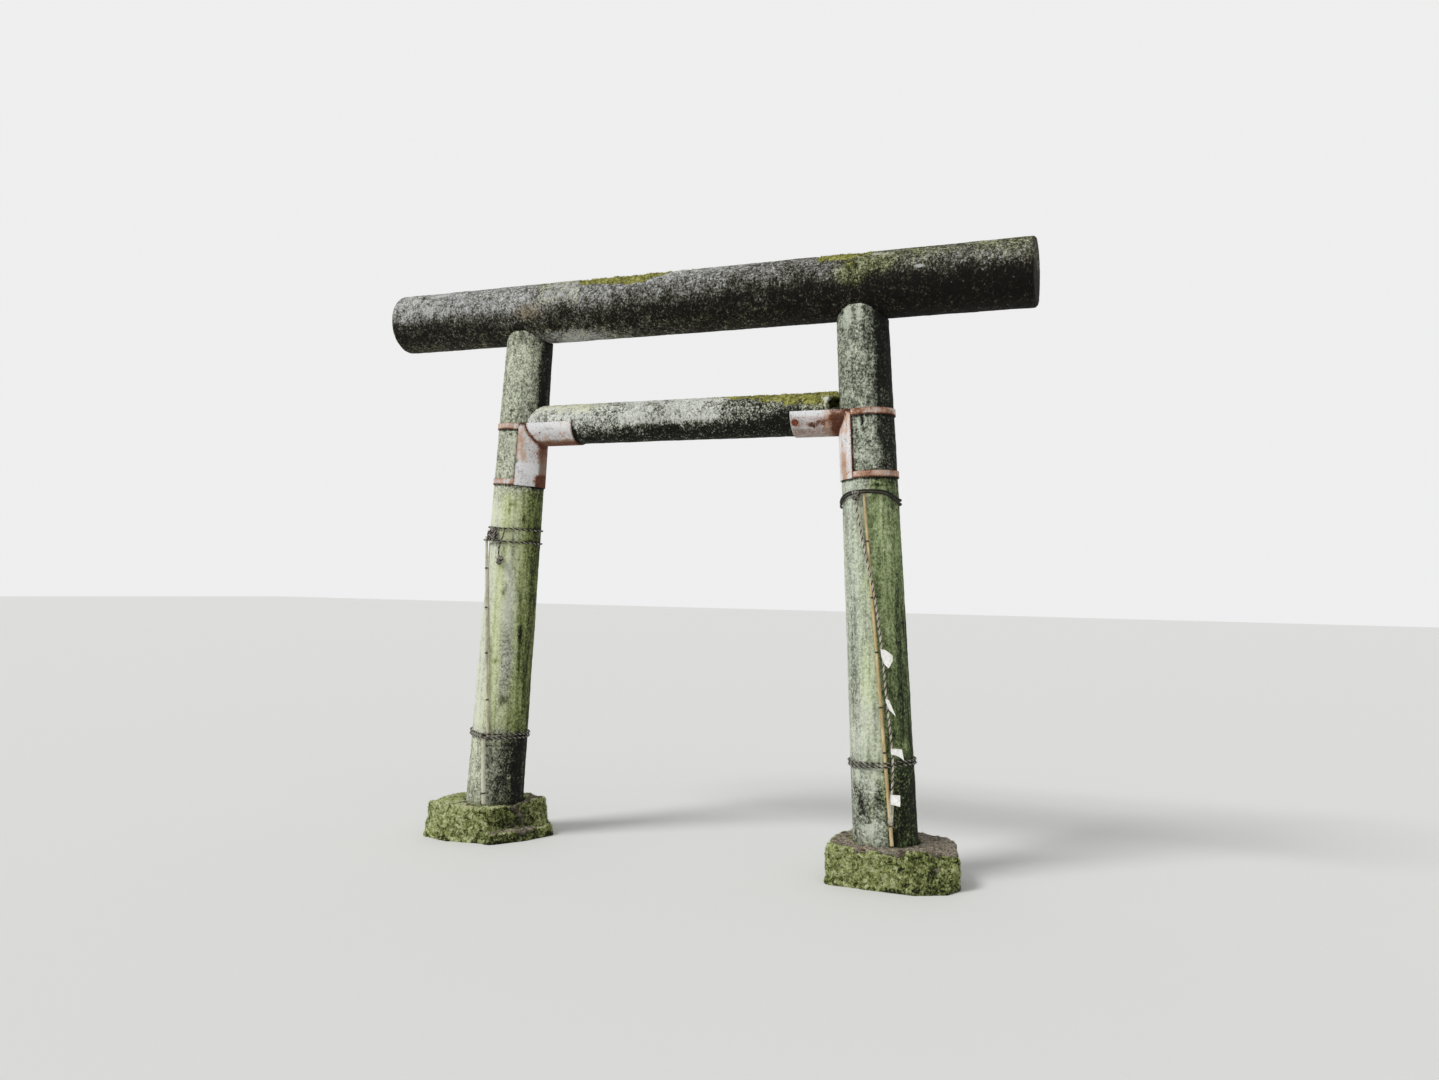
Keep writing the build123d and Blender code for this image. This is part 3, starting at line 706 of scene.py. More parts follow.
def closed_sheet(outer, inner, holes=()):
    """A closed sheet from two matching grids of points, open near each hole (centre, radius)."""
    rows, columns = outer.shape[0] - 1, outer.shape[1] - 1
    centres = (outer[:-1, :-1] + outer[1:, 1:]) / 2
    keep = np.ones((rows, columns), bool)
    for centre, radius in holes:
        keep &= np.linalg.norm(centres - centre, axis=2) > radius
    index = np.arange(outer.size // 3).reshape(outer.shape[:2])
    shift = index.size
    faces = []
    for i, j in np.argwhere(keep):
        a, b, c, d = index[i, j], index[i, j + 1], index[i + 1, j + 1], index[i + 1, j]
        faces += [(a, b, c, d), (d + shift, c + shift, b + shift, a + shift)]
        for ii, jj, first, second in ((i - 1, j, a, b), (i, j + 1, b, c), (i + 1, j, c, d), (i, j - 1, d, a)):
            if not (0 <= ii < rows and 0 <= jj < columns and keep[ii, jj]):
                faces.append((second, first, first + shift, second + shift))
    verts = np.concatenate([outer.reshape(-1, 3), inner.reshape(-1, 3)])
    used = sorted({v for face in faces for v in face})
    renumber = {v: k for k, v in enumerate(used)}
    return verts[used], [tuple(renumber[v] for v in face) for face in faces]


def sharpen(piece, angle):
    """Keeps the rims of a sheet crisp while its faces are smooth."""
    piece.data.set_sharp_from_angle(angle=radians(angle))


def steel_piece(name, node, rows, columns, place, paint, holes=(), turned=False):
    """A bent sheet; place(i, j, off) is a point off its inner face and paint gives its fields."""
    grids = [
        np.array([[place(i, j, off) for j in range(columns)] for i in range(rows)]) for off in (SHEET, 0.0)
    ]
    if turned:
        grids = [grid[::-1] for grid in grids]
    verts, faces = closed_sheet(*grids, holes)
    piece = new_piece(name, (verts, faces), steel, "bracket_steel", node)
    for key, values in paint(verts).items():
        add_field(piece, key, values)
    sharpen(piece, 40.0)


def steel_finish(name):
    """Old paint over mild steel. Fields: rust (bare, dark), blush (rusty wash), and one of grime with painted
    shade, which darken the paint alike.
    """
    f = Finish(name, 0.62, 0.35)
    blotch = f.noise(15.0, 6, 0.68, warp=0.6)
    grain = f.noise(95.0, 8, 0.82)
    specks = f.noise(190.0, 5, 0.78)
    runs = f.noise(1.0, 5, 0.65, stretch=(60.0, 60.0, 9.0))
    rust = f.field("rust")
    colour = f.ramp(f.plus((blotch, 0.8), (grain, 1.2), (specks, 0.5), -0.75), {
        0.2: "847e76", 0.36: "ceccca", 0.5: "eeeff2", 0.72: "fcfbf9",
    })
    wash = f.plus(f.field("blush"), (runs, 1.2), (blotch, 1.8), (grain, 1.8), -2.42)
    washes = f.ramp(f.plus((grain, 1.5), (specks, 0.8), -0.65), {
        0.26: "7c4e30", 0.47: "ca9c78", 0.7: "eed6c0",
    })
    colour = f.mix(f.times(f.step(wash, 0.16, 0.66), 0.88), colour, washes)
    # Grime and painted shade darken the paint alike, towards a dark brown.
    grime_and_shade_mask = f.plus(f.field("shade"), (grain, 1.4), (runs, 0.8), (specks, 0.5), -1.35)
    grime_and_shade_colour = f.mix(f.step(grain, 0.42, 0.58), "463828", "8c7c62")
    colour = f.mix(f.times(f.step(grime_and_shade_mask, 0.15, 0.85), 0.85), colour, grime_and_shade_colour)
    flecks = f.step(f.plus((rust, 0.3), specks), 0.615, 0.655)
    dark = f.mix(f.step(grain, 0.45, 0.55), "3a2216", "805236")
    colour = f.mix(f.times(flecks, 0.85), colour, dark)
    eaten = f.plus(rust, (grain, 2.0), specks, blotch, -2.0)
    colour = f.mix(f.times(f.step(eaten, 0.14, 0.42), 0.6), colour, "ba7a50")
    bare = f.step(eaten, 0.36, 0.5)
    rusts = f.ramp(f.plus((grain, 1.3), (specks, 0.7), -0.5), {
        0.3: "1e0f0a", 0.5: "542c1c", 0.7: "965836",
    })
    f.link("Roughness", f.plus((bare, 0.32), 0.55))
    relief = f.plus((bare, -0.4), f.times(bare, grain), (flecks, -0.3), (specks, 0.3), (blotch, 0.4))
    return f.done(f.mix(bare, colour, rusts), relief, 0.004)


def inward_turn(side):
    """The turn round a post's axis, from +X, that faces the gateway."""
    return pi if side == RIGHT else 0.0


def halved(inside, low, high, times):
    """Where a measure that is inside at low stops being so, on the way to high."""
    for _ in range(times):
        middle = (low + high) / 2
        low, high = (middle, high) if inside(middle) else (low, middle)
    return low, high


def shell_top(side, turn, radius):
    """How far up a post shell reaches at a turn: to the tie's cradle, or to the tie's axis."""
    def below(length):
        point = on_post(side, radius, turn, length)
        return hypot(point.y, point.z - TIE_Z) > CRADLE_R + GAP
    return halved(below, SHELL_BOTTOM, SHELL_TOP, 26)[0]


def post_shell(side, word, paint, holes=()):
    """The half-pipe down a post, from the tie's cradle to its cut end."""
    rows, columns = 56, 58
    turns = [inward_turn(side) - SHELL_HALF + 2 * SHELL_HALF * j / (columns - 1) for j in range(columns)]
    tops = [shell_top(side, turn, post_r(SHELL_TOP) + SHEET) for turn in turns]

    def place(i, j, off):
        length = SHELL_BOTTOM + (tops[j] - SHELL_BOTTOM) * i / (rows - 1)
        return on_post(side, post_r(length) + GAP + off, turns[j], length)

    steel_piece(word + "_shell_on_post", word + "_bracket_post_shell", rows, columns, place, paint, holes)


def tie_shell(side, word, paint, holes=()):
    """The half-pipe under the tie, from the post to its cut end."""
    rows, columns = 58, 56
    to_post = post_matrix(side).inverted()
    end = side * (axis_x(RIGHT, TIE_Z) - TIE_SHELL)

    def place(i, j, off):
        turn = -pi / 2 + pi * j / (columns - 1)
        radius = TIE_R + GAP + off
        y, z = -radius * sin(turn), TIE_Z - radius * cos(turn)

        def in_post(x):
            local = to_post @ Vector((x, y, z))
            return hypot(local.x, local.y) < post_r(local.z) + GAP

        start = halved(in_post, axis_x(side, z), 0.0, 30)[1]
        return start + (end - start) * (i / (rows - 1)), y, z

    name, node = word + "_shell_under_tie", word + "_bracket_tie_shell"
    steel_piece(name, node, rows, columns, place, paint, holes, side == LEFT)


def strap(side, word, level, low, blush, rust):
    """A flat band round the back of a post, from rim to rim of its shell."""
    rows, columns = 9, 120

    def place(i, j, off):
        turn = inward_turn(side) + SHELL_HALF + radians(220) * j / (columns - 1)
        length = low + 0.0006 + (STRAP - 0.0012) * i / (rows - 1)
        if i in (0, rows - 1):
            length += 0.0007 * wobble(cos(turn) * 9, sin(turn) * 9, low * 7)
        return on_post(side, post_r(length) + GAP + off, turn, length)

    def paint(points):
        up = along(side, points) - low
        # The band's lower and upper edges are darker: rust with painted shade.
        shaded_rusty_edges = fade(up, 0.002, 0.009) + 0.5 * smooth(up, 0.026, 0.03)
        mottle = 0.16 * rough(points, 22.0, 3, 17.0)
        shade = 0.22 + 0.45 * shaded_rusty_edges + mottle
        return {"rust": rust + 0.34 * shaded_rusty_edges + mottle, "blush": blush + mottle, "shade": shade}

    steel_piece(f"{word}_{level}_band", f"{word}_{level}_strap", rows, columns, place, paint)


def mitre(side):
    """Points along the seam where a post shell meets the half-pipe under the tie."""
    radius = post_r(SHELL_TOP - 0.1) + GAP + SHEET
    half, steps = 66, 60
    turns = [inward_turn(side) + radians(-half + 2 * half * k / steps) for k in range(steps + 1)]
    return np.array([on_post(side, radius, turn, shell_top(side, turn, radius)) for turn in turns])


def near_seam(side, points, reach):
    """1 at the mitre seam of a bracket, 0 beyond the reach."""
    away = np.sqrt(((np.asarray(points)[:, None, :] - mitre(side)[None, :, :]) ** 2).sum(2)).min(1)
    return fade(away, 0.004, reach)


def bead(points, radius):
    """A lumpy weld bead along a line of points."""
    sides, last = 8, len(points) - 1
    verts, faces = [], []
    for k, point in enumerate(points):
        ahead = (points[min(k + 1, last)] - points[max(k - 1, 0)]).normalized()
        across = ahead.cross(Vector((0.3, 0.9, 0.2))).normalized()
        other = ahead.cross(across)
        ripple = 1.0 + 0.22 * sin(k * 1.25) + 0.25 * noise.noise(point * 90)
        size = radius * ripple * (0.5 if k in (0, last) else 1.0)
        for s in range(sides):
            turn = 2 * pi * s / sides
            verts.append(point + (across * cos(turn) + other * sin(turn)) * size)
    for k in range(last):
        for s in range(sides):
            a, b = k * sides + s, k * sides + (s + 1) % sides
            faces.append((a, b, b + sides, a + sides))
    faces += [tuple(range(sides - 1, -1, -1)), tuple(range(last * sides, (last + 1) * sides))]
    return verts, faces


# Cords, canes and paper


def frames(path, up, closed):
    """Two directions square to a path and to each other, at each of its points."""
    ahead = np.roll(path, -1, 0) - np.roll(path, 1, 0) if closed else np.gradient(path, axis=0)
    ahead /= np.linalg.norm(ahead, axis=1)[:, None]
    across = np.cross(ahead, np.broadcast_to(np.asarray(up, float), path.shape))
    across /= np.linalg.norm(across, axis=1)[:, None]
    return across, np.cross(ahead, across)


def distances(path):
    """How far along a path each of its points lies."""
    return np.concatenate([[0], np.cumsum(np.linalg.norm(np.diff(path, axis=0), axis=1))])


def tube(path, radius, sides, up, closed=False):
    """Vertices and faces of a tube; path (n, 3), radius a number or one per point."""
    count = len(path)
    radius = np.broadcast_to(np.asarray(radius, float), (count,))
    across, other = frames(path, up, closed)
    turn = 2 * pi * np.arange(sides) / sides
    ring = across[:, None, :] * np.cos(turn)[None, :, None] + other[:, None, :] * np.sin(turn)[None, :, None]
    verts = (path[:, None, :] + ring * radius[:, None, None]).reshape(-1, 3)
    faces = []
    for k in range(count if closed else count - 1):
        this, after = k * sides, (k + 1) % count * sides
        for s in range(sides):
            t = (s + 1) % sides
            faces.append((this + t, after + t, after + s, this + s))
    if not closed:
        faces += [tuple(range(sides - 1, -1, -1)), tuple(range((count - 1) * sides, count * sides))]
    return verts, faces


def strands(path, radius, pitch, up, closed=False, sides=6, ragged=0.06):
    """Three strands twisted round a path; for a closed path the turns come out whole."""
    length = distances(path)
    total = length[-1] + (np.linalg.norm(path[0] - path[-1]) if closed else 0.0)
    turns = round(total / pitch * 3) / 3 if closed else total / pitch
    across, other = frames(path, up, closed)
    thick = radius / (1 + 1 / sin(pi / 3))
    parts = []
    for s in range(3):
        turn = 2 * pi * (turns * length / total + s / 3)
        centre = path + (radius - thick) * (across * np.cos(turn)[:, None] + other * np.sin(turn)[:, None])
        uneven = 1 + ragged * np.array([noise.noise(Vector(p) * 150 + Vector((s, 0, 0))) for p in centre])
        parts.append(tube(centre, thick * 1.12 * uneven, sides, up, closed))
    return parts


def evenly(points, step, closed=False):
    """A line of points spaced again at about the step."""
    points = np.asarray(points, float)
    if closed:
        points = np.concatenate([points, points[:1]])
    length = distances(points)
    count = max(int(round(length[-1] / step)), 2)
    places = np.linspace(0, length[-1], count + 1)
    if closed:
        places = places[:-1]
    return np.stack([np.interp(places, length, points[:, k]) for k in range(3)], 1)


def spline(points, step):
    """Evenly spaced points of the smooth line that a NURBS spline gives these control points."""
    curve = bpy.data.curves.new("route", "CURVE")
    curve.dimensions = "3D"
    line = curve.splines.new("NURBS")
    line.points.add(len(points) - 1)
    for point, place in zip(line.points, points):
        point.co = (*place, 1.0)
    line.order_u = 3
    line.use_endpoint_u = True
    line.resolution_u = 24
    holder = bpy.data.objects.new("route", curve)
    mesh = bpy.data.meshes.new_from_object(holder)
    dense = read(mesh.vertices, "co")
    bpy.data.objects.remove(holder)
    bpy.data.curves.remove(curve)
    bpy.data.meshes.remove(mesh)
    return evenly(dense, step)


def polar(side, height, turn, off):
    """A point beside a post: height above the stone, degrees from the front, metres off it."""
    radius = post_r(height / cos(LEAN)) + off
    angle = radians(turn)
    x = axis_x(side, STONE_TOP + height) + radius * sin(angle)
    return np.array((x, -radius * cos(angle), STONE_TOP + height))


def route(side, *places):
    return [polar(side, *place) for place in places]


def loop_path(side, height, rod=None, rod_radius=CANE_R, arch=0.0):
    """A closed line of cord round a post, and over a rod beside it, square to the post's axis.

    With an arch it climbs by that much at the front.
    """
    length = height / cos(LEAN)
    turn = np.linspace(0, 2 * pi, 241)[:-1]

    def circle(x, y, inner):
        radius = inner + 0.0005 + CORD / 2
        return np.stack([x + radius * np.cos(turn), y + radius * np.sin(turn)], 1)

    points = circle(0, 0, post_r(length))
    if rod is not None:
        low, high = moved(post_matrix(side).inverted(), rod)
        x, y, _ = low + (high - low) * ((length - low[2]) / (high[2] - low[2]))
        points = np.concatenate([points, circle(x, y, rod_radius)])
        points = points[convex_hull_2d([tuple(p) for p in points])]
        points = np.roll(points, -points[:, 0].argmin(), 0)
    line = evenly(np.column_stack([points, np.zeros(len(points))]), 0.005, closed=True)
    spin = np.arctan2(line[:, 1], line[:, 0])
    sway = 0.0015
    line[:, 2] = length + sway * np.sin(2 * spin + height * 9)
    line[:, 2] += 0.4 * sway * np.sin(5 * spin + height * 31)
    line[:, 2] += arch * (smooth(np.cos(spin + pi / 2), 0.1, 1.0) - 0.4)
    return moved(post_matrix(side), line)


def fibres(paths, count, length, width):
    """Loose fibres that stand off cords, each a thin closed spike."""
    parts = []
    for _ in range(count):
        path = paths[rng.integers(len(paths))]
        k = int(rng.integers(1, len(path) - 1))
        ahead = Vector(path[k + 1] - path[k - 1]).normalized()
        away = ahead.cross(Vector(rng.normal(0, 1, 3))).normalized()
        root = Vector(path[k]) + away * 0.0035
        way = int(rng.choice((-1, 1)))
        tip = root + (away * 0.6 + ahead * way * rng.uniform(0.4, 1)) * length * rng.uniform(0.4, 1.1)
        bent = (root + tip) / 2 + Vector(rng.normal(0, length * 0.08, 3))
        side, front = ahead.cross(away) * width * way, away * width
        verts = [root + side, root - side, root + front]
        verts += [bent + side * 0.6, bent - side * 0.6, bent + front * 0.6, tip]
        parts.append((verts, FIBRE_FACES))
    return joined(parts)


def cord_finish(name, dark, middle, light, scale=260.0):
    """Twisted cord, weathered in uneven tones."""
    f = Finish(name, 0.9, 0.2)
    tone = f.plus((f.noise(scale, 5, 0.7), 0.5), (f.noise(38.0, 4, 0.7), 0.5))
    f.shader.inputs["Sheen Weight"].default_value = 0.15
    lay = f.noise(900.0, 3, 0.7, stretch=(1, 1, 0.3))
    return f.done(f.ramp(tone, {0.36: dark, 0.5: middle, 0.62: light}), lay, 0.0012, 0.8)


def bamboo(name, node, line, radius, rings, finish, taper=0.0):
    """A cane with swollen nodes, a little crooked."""
    sides = 14
    path = spline(line, 0.004)
    heights = path[:, 2] - STONE_TOP
    swell, ringed = np.ones(len(path)), np.zeros(len(path))
    for z in rings:
        above = heights - z
        swell += 0.2 * np.exp(-(above / 0.0035) ** 2) - 0.1 * np.exp(-((above - 0.009) / 0.004) ** 2)
        ringed += np.exp(-(above / 0.006) ** 2)
    swell += 0.03 * np.array([noise.noise(Vector(p) * 14) for p in path])
    swell *= 1.0 + taper * np.linspace(1, -1, len(path))
    piece = new_piece(name, tube(path, radius * swell * 0.93, sides, (0, 1, 0)), finish, "cane", node)
    add_field(piece, "ring", np.repeat(ringed, sides))


def bamboo_finish(name, dark, middle, light):
    """Dry bamboo: straw culm with lengthwise streaks, dark at the nodes."""
    f = Finish(name, 0.45, 0.45)
    streak = f.noise(1.0, 4, 0.6, stretch=(420.0, 420.0, 7.0))
    tone = f.plus((streak, 0.5), (f.noise(12.0, 5, 0.65), 0.5))
    colour = f.ramp(tone, {0.36: dark, 0.52: middle, 0.66: light})
    rings = f.step(f.plus(f.field("ring"), (f.noise(200.0, 3, 0.6), 0.3), -0.15), 0.35, 0.8)
    colour = f.mix(rings, colour, "34281a")
    specks = f.step(f.noise(95.0, 6, 0.75), 0.64, 0.7)
    colour = f.mix(f.times(specks, 0.75), colour, "3c3224")
    return f.done(colour, f.plus((streak, 0.5), (rings, 0.4)), 0.001, 0.6)


def streamer(corner, outline, folds, seed):
    """A weathered paper streamer: a creased, curled sheet of the outline's shape."""
    columns, margin = 26, 0.0008
    outline = np.array(outline) / 1000.0
    low, high = outline[:, 1].min() + margin, outline[:, 1].max() - margin
    sheet = []
    for v in np.linspace(high, low, int((high - low) / 0.0022) + 2):
        cuts = []
        for (x0, y0), (x1, y1) in zip(outline, np.roll(outline, -1, 0)):
            if (y0 > v) != (y1 > v):
                cuts.append((x1 - x0) * (v - y0) / (y1 - y0) + x0)
        left, right = (0.0005 * wobble(v * 420, k * 3.0, seed) for k in range(2))
        row = []
        for u in np.linspace(min(cuts) + left, max(cuts) + right, columns):
            fold = abs(((u * folds[0] + v * folds[1]) / 0.022 + seed) % 2 - 1) * 0.006
            curl = -0.5 * max(u, 0.0) ** 2 / 0.06 - 0.0012 * wobble(u * 90, v * 90, seed)
            row.append((corner[0] + u, corner[1] + (curl - fold * smooth(u, 0.0, 0.012)), corner[2] + v))
        sheet.append(row)
    inner = np.array(sheet)[::-1]
    return closed_sheet(inner - (0, 0.0006, 0), inner)


def paper_finish():
    f = Finish("weathered_paper", 0.85, 0.25)
    blotch = f.noise(55.0, 5, 0.7)
    fibre = f.noise(480.0, 4, 0.7)
    colour = f.ramp(f.plus((blotch, 0.6), (fibre, 0.4)), {
        0.34: "bab6aa", 0.48: "e8e7e2", 0.64: "fafaf8",
    })
    return f.done(f.mix(f.times(f.step(blotch, 0.62, 0.72), 0.5), colour, "807a60"), fibre, 0.0008, 0.6)


# Building the gate: a scale of greys and one of greens for each log, from dark to pale

left_log = concrete(
    "left_post_concrete",
    "0e0f0b 303128 626556 8c8f7c b6baa4 e0e4d0",
    "12140c 3e4426 707a46 9ea870 c4cc9a e2e8c4",
)
right_log = concrete(
    "right_post_concrete",
    "10110d 32342a 606456 8a8e7e b4bba8 e0e6d4",
    "141910 343c24 627046 92a270 becc9c e0e8c8",
)
lintel_log = concrete(
    "lintel_concrete",
    "0a0905 2c291b 545246 7c7c77 a4a5a5 d2d3ce",
    "0c0c04 303016 585a38 848764 aeb08c d2d3b8",
    1.15, (0.02, 0.22, 0.38, 0.54, 0.72, 0.94),
)
tie_log = concrete(
    "tie_concrete",
    "10100b 323226 66675a 96988a c4c7bc eaece6",
    "141409 3e3f1a 70713a 9a9b5e c4c592 dee0c4",
    1.45,
)
mossy_stone = stone_finish()
LOGS = (
    ("lintel", "lintel_log", 0.0081, lintel_log, "lintel_concrete", lintel_relief, lintel_paint),
    ("left_log", "left_post", 0.0078, left_log, "log_concrete", log_relief, left_paint),
    ("right_log", "right_post", 0.0078, right_log, "log_concrete", log_relief, right_paint),
    ("tie", "tie_log", 0.0072, tie_log, "tie_concrete", tie_relief, tie_paint),
    ("left_stone", "left_base_stone", 0.0075, mossy_stone, "base_stone", stone_relief, stone_paint),
    ("right_stone", "right_base_stone", 0.0075, mossy_stone, "base_stone", stone_relief, stone_paint),
)
logs = {log[0]: weathered(*log) for log in LOGS}

blades = moss_finish("moss_blades", "4a5426", "9ca65e", "e0e4a6")
dry_blades = moss_finish("dry_moss_blades", "4e4c1e", "a09e50", "e0dc94")


def stone_tufts(points, outward):
    return smooth(stone_moss(points, outward), 0.45, 0.8) * (points[:, 2] > 0.02)


def lintel_tufts(points, outward):
    return smooth(lintel_moss(points), 0.4, 0.7)


def tie_tufts(points, outward):
    return smooth(tie_moss(points), 0.4, 0.7)


tufts("left_stone", "left_base_stone", 6500, 0.009, stone_tufts, blades, "base_stone")
tufts("right_stone", "right_base_stone", 6500, 0.009, stone_tufts, blades, "base_stone")
tufts("lintel", "lintel_log", 4200, 0.008, lintel_tufts, dry_blades, "lintel_concrete")
tufts("tie", "tie_log", 3600, 0.006, tie_tufts, dry_blades, "tie_concrete")

# Brackets: paints of the four shells, and the holes in them

steel = steel_finish("old_painted_steel")


def left_post_paint(points):
    h, turn = post_places(LEFT, points)
    clean = band(turn, 28, 74, 7) * band(h, 1.706, 1.758, 0.007)
    burnt = smooth(turn, 60, 74) * fade(h, 1.69, 1.715) + 0.5 * patch(turn, h, 78, 1.83, 22, 0.05)
    edge = smooth(turned_away(turn, 90), 66, 70)
    seam = near_seam(LEFT, points, 0.02)
    rust = 0.66 * burnt + 0.44 * edge + 0.34 * smooth(turn, 66, 88) * (1 - clean) + 0.5 * seam
    return {
        "rust": rust - 0.04 - 0.2 * clean,
        "blush": 0.14 + 0.52 * patch(turn, h, 30, 1.85, 14, 0.09) + 0.2 * edge + 0.2 * seam - 0.5 * clean,
        # Towards the back of the shell, past a turn of 60, it darkens: rust with painted shade.
        "shade": -0.08 + 1.1 * smooth(turn, 60, 84) + 0.3 * seam - 0.3 * clean,
    }


def left_tie_paint(points):
    down = (TIE_Z - points[:, 2]) / TIE_R
    low = smooth(down, 0.3, 0.62)
    seam = near_seam(LEFT, points, 0.016)
    rim = smooth(points[:, 0], -0.597, -0.591)
    return {
        "rust": -0.04 + 0.14 * low + 0.42 * smooth(down, 0.84, 0.98) + 0.35 * rim + 0.42 * seam,
        "blush": -0.06 + 0.3 * low + 0.3 * smooth(down, 0.7, 0.95) + 0.2 * seam,
        "shade": -0.14 + 0.36 * low + 0.7 * smooth(down, 0.74, 0.96) + 0.2 * rim,
    }


def right_post_paint(points):
    h, turn = post_places(RIGHT, points)
    # A dark line along the shell's front rim: rust with the painted shadow of the gap at its edge.
    rim, line = smooth(turn, -26, -22), smooth(turn, -22.6, -21.2)
    rust = 0.16 * rim + 0.75 * line + 0.5 * near_seam(RIGHT, points, 0.02)
    wash = 0.58 * patch(turn, h, -46, 1.71, 16, 0.1) + 0.4 * smooth(h, 1.82, 1.9)
    return {
        "rust": 0.02 + rust + 0.22 * patch(turn, h, -45, 1.7, 16, 0.07),
        "blush": 0.12 + wash + 0.2 * smooth(-turn, 95, 130),
        "shade": 0.15 * rim + 0.4 * line + 0.35 * smooth(-turn, 90, 125),
    }


def right_tie_paint(points):
    x, down = points[:, 0], (TIE_Z - points[:, 2]) / TIE_R
    seam, low = smooth(x, 0.765, 0.8), smooth(down, 0.62, 0.8)
    belt = band(down, 0.3, 0.62, 0.14)
    halo = patch(x, down, 0.612, 0.55, 0.035, 0.22)
    holes = spots(x, down, (0.7, 0.62, 0.03, 0.1, 1), (0.745, 0.5, 0.025, 0.12, 0.8))
    return {
        "rust": -0.04 + 0.52 * seam + 0.24 * belt + 0.46 * holes + 0.26 * low + 0.16 * halo,
        "blush": -0.14 + 0.6 * smooth(x, 0.7, 0.77) + 0.66 * halo + 0.2 * belt + 0.18 * low,
        "shade": -0.18 + 0.78 * low + 0.25 * seam + 0.16 * belt,
    }


def cradle_hole(x, degrees, radius, hand=-1):
    """A hole in a shell under the tie, so many degrees below its front or back rim."""
    turn = radians(degrees)
    return (x, hand * CRADLE_R * cos(turn), TIE_Z - CRADLE_R * sin(turn)), radius


BITE = SHELL_TOP - 0.195
bite = (np.array(on_post(LEFT, post_r(BITE), radians(-70), BITE)), 0.014)
left_x = -axis_x(RIGHT, TIE_Z) + TIE_SHELL - 0.191
post_shell(LEFT, "left", left_post_paint, [bite])
tie_shell(LEFT, "left", left_tie_paint, [cradle_hole(left_x, 28, 0.0065, hand) for hand in (-1, 1)])
post_shell(RIGHT, "right", right_post_paint)
rusted_through = ((0.7, 43, 0.006), (0.725, 46, 0.004), (0.752, 38, 0.0045), (0.67, 50, 0.0035))
tie_shell(RIGHT, "right", right_tie_paint, [cradle_hole(*hole) for hole in rusted_through])
strap(LEFT, "left", "upper", SHELL_TOP - STRAP, 0.56, 0.12)
strap(LEFT, "left", "lower", SHELL_BOTTOM, 0.54, 0.16)
strap(RIGHT, "right", "upper", SHELL_TOP - STRAP, 0.58, 0.24)
strap(RIGHT, "right", "lower", SHELL_BOTTOM, 0.66, 0.2)

weld_steel = steel_finish("weld_steel")
for side, word in SIDES:
    seam = [Vector(point) for point in mitre(side)]
    weld = new_piece(word + "_weld_bead", bead(seam, 0.0032), weld_steel, "bracket_steel")
    for key, amount in (("rust", 0.6 if side == LEFT else 0.7), ("blush", 0.35), ("shade", 0.0)):
        add_field(weld, key, np.full(len(weld.data.vertices), amount))

# Bolts keep their solids and take a rusted finish

rusted = Finish("rusted_iron", 0.9, 0.3)
grain = rusted.noise(160.0, 6, 0.75)
rust = rusted.ramp(grain, {0.36: "321a10", 0.5: "7a422a", 0.64: "b67450"})
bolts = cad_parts["right_bracket_bolts"].data.materials
bolts.clear()
bolts.append(rusted.done(rust, grain, 0.004))

# Canes

straw = bamboo_finish("dry_bamboo", "967c50", "ceb684", "ecdeb6")
grey_straw = bamboo_finish("grey_bamboo", "969078", "cecab4", "eeecde")
left_route = route(
    LEFT, (0.338, 10, 0.0095), (0.6, -1, 0.011), (0.85, -12, 0.011), (1.11, -27, 0.012), (1.378, -48, 0.014))
foot_route = route(LEFT, (0.002, 15, 0.034), (0.18, 8, 0.024), (0.368, 1, 0.0135))
right_route = route(RIGHT, (0.002, 22.7, 0.0135), (0.78, 13, 0.012), (1.575, 1.6, 0.0105))
bamboo("left_cane", "left_long_cane", left_route, CANE_R, (0.53, 0.77, 1.005, 1.21), grey_straw)
bamboo("left_cane_foot", "left_foot_cane", foot_route, 0.012, (0.055, 0.345), grey_straw)
right_rings = (1.355, 1.1, 0.855, 0.61, 0.41, 0.09)
bamboo("right_cane_culm", "right_cane", right_route, CANE_R, right_rings, straw, 0.2)

# Lashings

dark_cord = cord_finish("weathered_cord", "0e0d0b", "26231d", "544e42")
pale_cord = cord_finish("pale_cord", "605a50", "a09a8e", "dedad0")
pale_rope = cord_finish("pale_rope", "847c68", "c4beac", "e8e5da", 200.0)
dark_rope = cord_finish("dark_rope", "1c1814", "40382e", "786e5c", 200.0)
UP = Vector((0, 0, 1))


def lashing(word, side, loops, extra=(), thick=0.98, pale_strands=1):
    """Twisted loops, knots and stray fibres of one lashing: dark strands and some pale ones."""
    axis = np.array(post_matrix(side).to_3x3() @ UP)
    dark, pale, lines = [], [], []
    for loop in loops:
        lines.append(loop_path(side, *loop))
        turns = strands(lines[-1], CORD / 2 * thick, 0.03, axis, closed=True)
        dark += turns[: 3 - pale_strands]
        pale += turns[3 - pale_strands :]
    for k, (path, up, closed) in enumerate(extra):
        lines.append(path)
        turns = strands(path, CORD / 2 * 0.92, 0.026, up, closed=closed)
        cut = 1 if k % 2 else 2
        dark += turns[:cut]
        pale += turns[cut:]
    for parts in (dark, pale):
        parts.append(fibres(lines, 180, 0.014, 0.0004))
    new_piece(word + "_cords_pale", joined(pale), pale_cord, "cord")
    new_piece(word + "_cords", joined(dark), dark_cord, "cord", word + "_lashing")


def wrap(centre, across, wide, tall, depth, tilt):
    """A closed oval turn of cord round a bundle, as one wrap of a knot."""
    across = across.normalized()
    out = across.cross(UP).normalized()
    turned = UP * cos(tilt) + across * sin(tilt)
    push = turned.cross(out).normalized() * wide
    line = []
    for k in range(60):
        turn = 2 * pi * k / 60
        point = centre + turned * (tall / 2 * cos(turn)) + out * (depth / 2 * sin(turn))
        line.append(tuple(point + push * sin(turn)))
    return evenly(line, 0.003, closed=True)


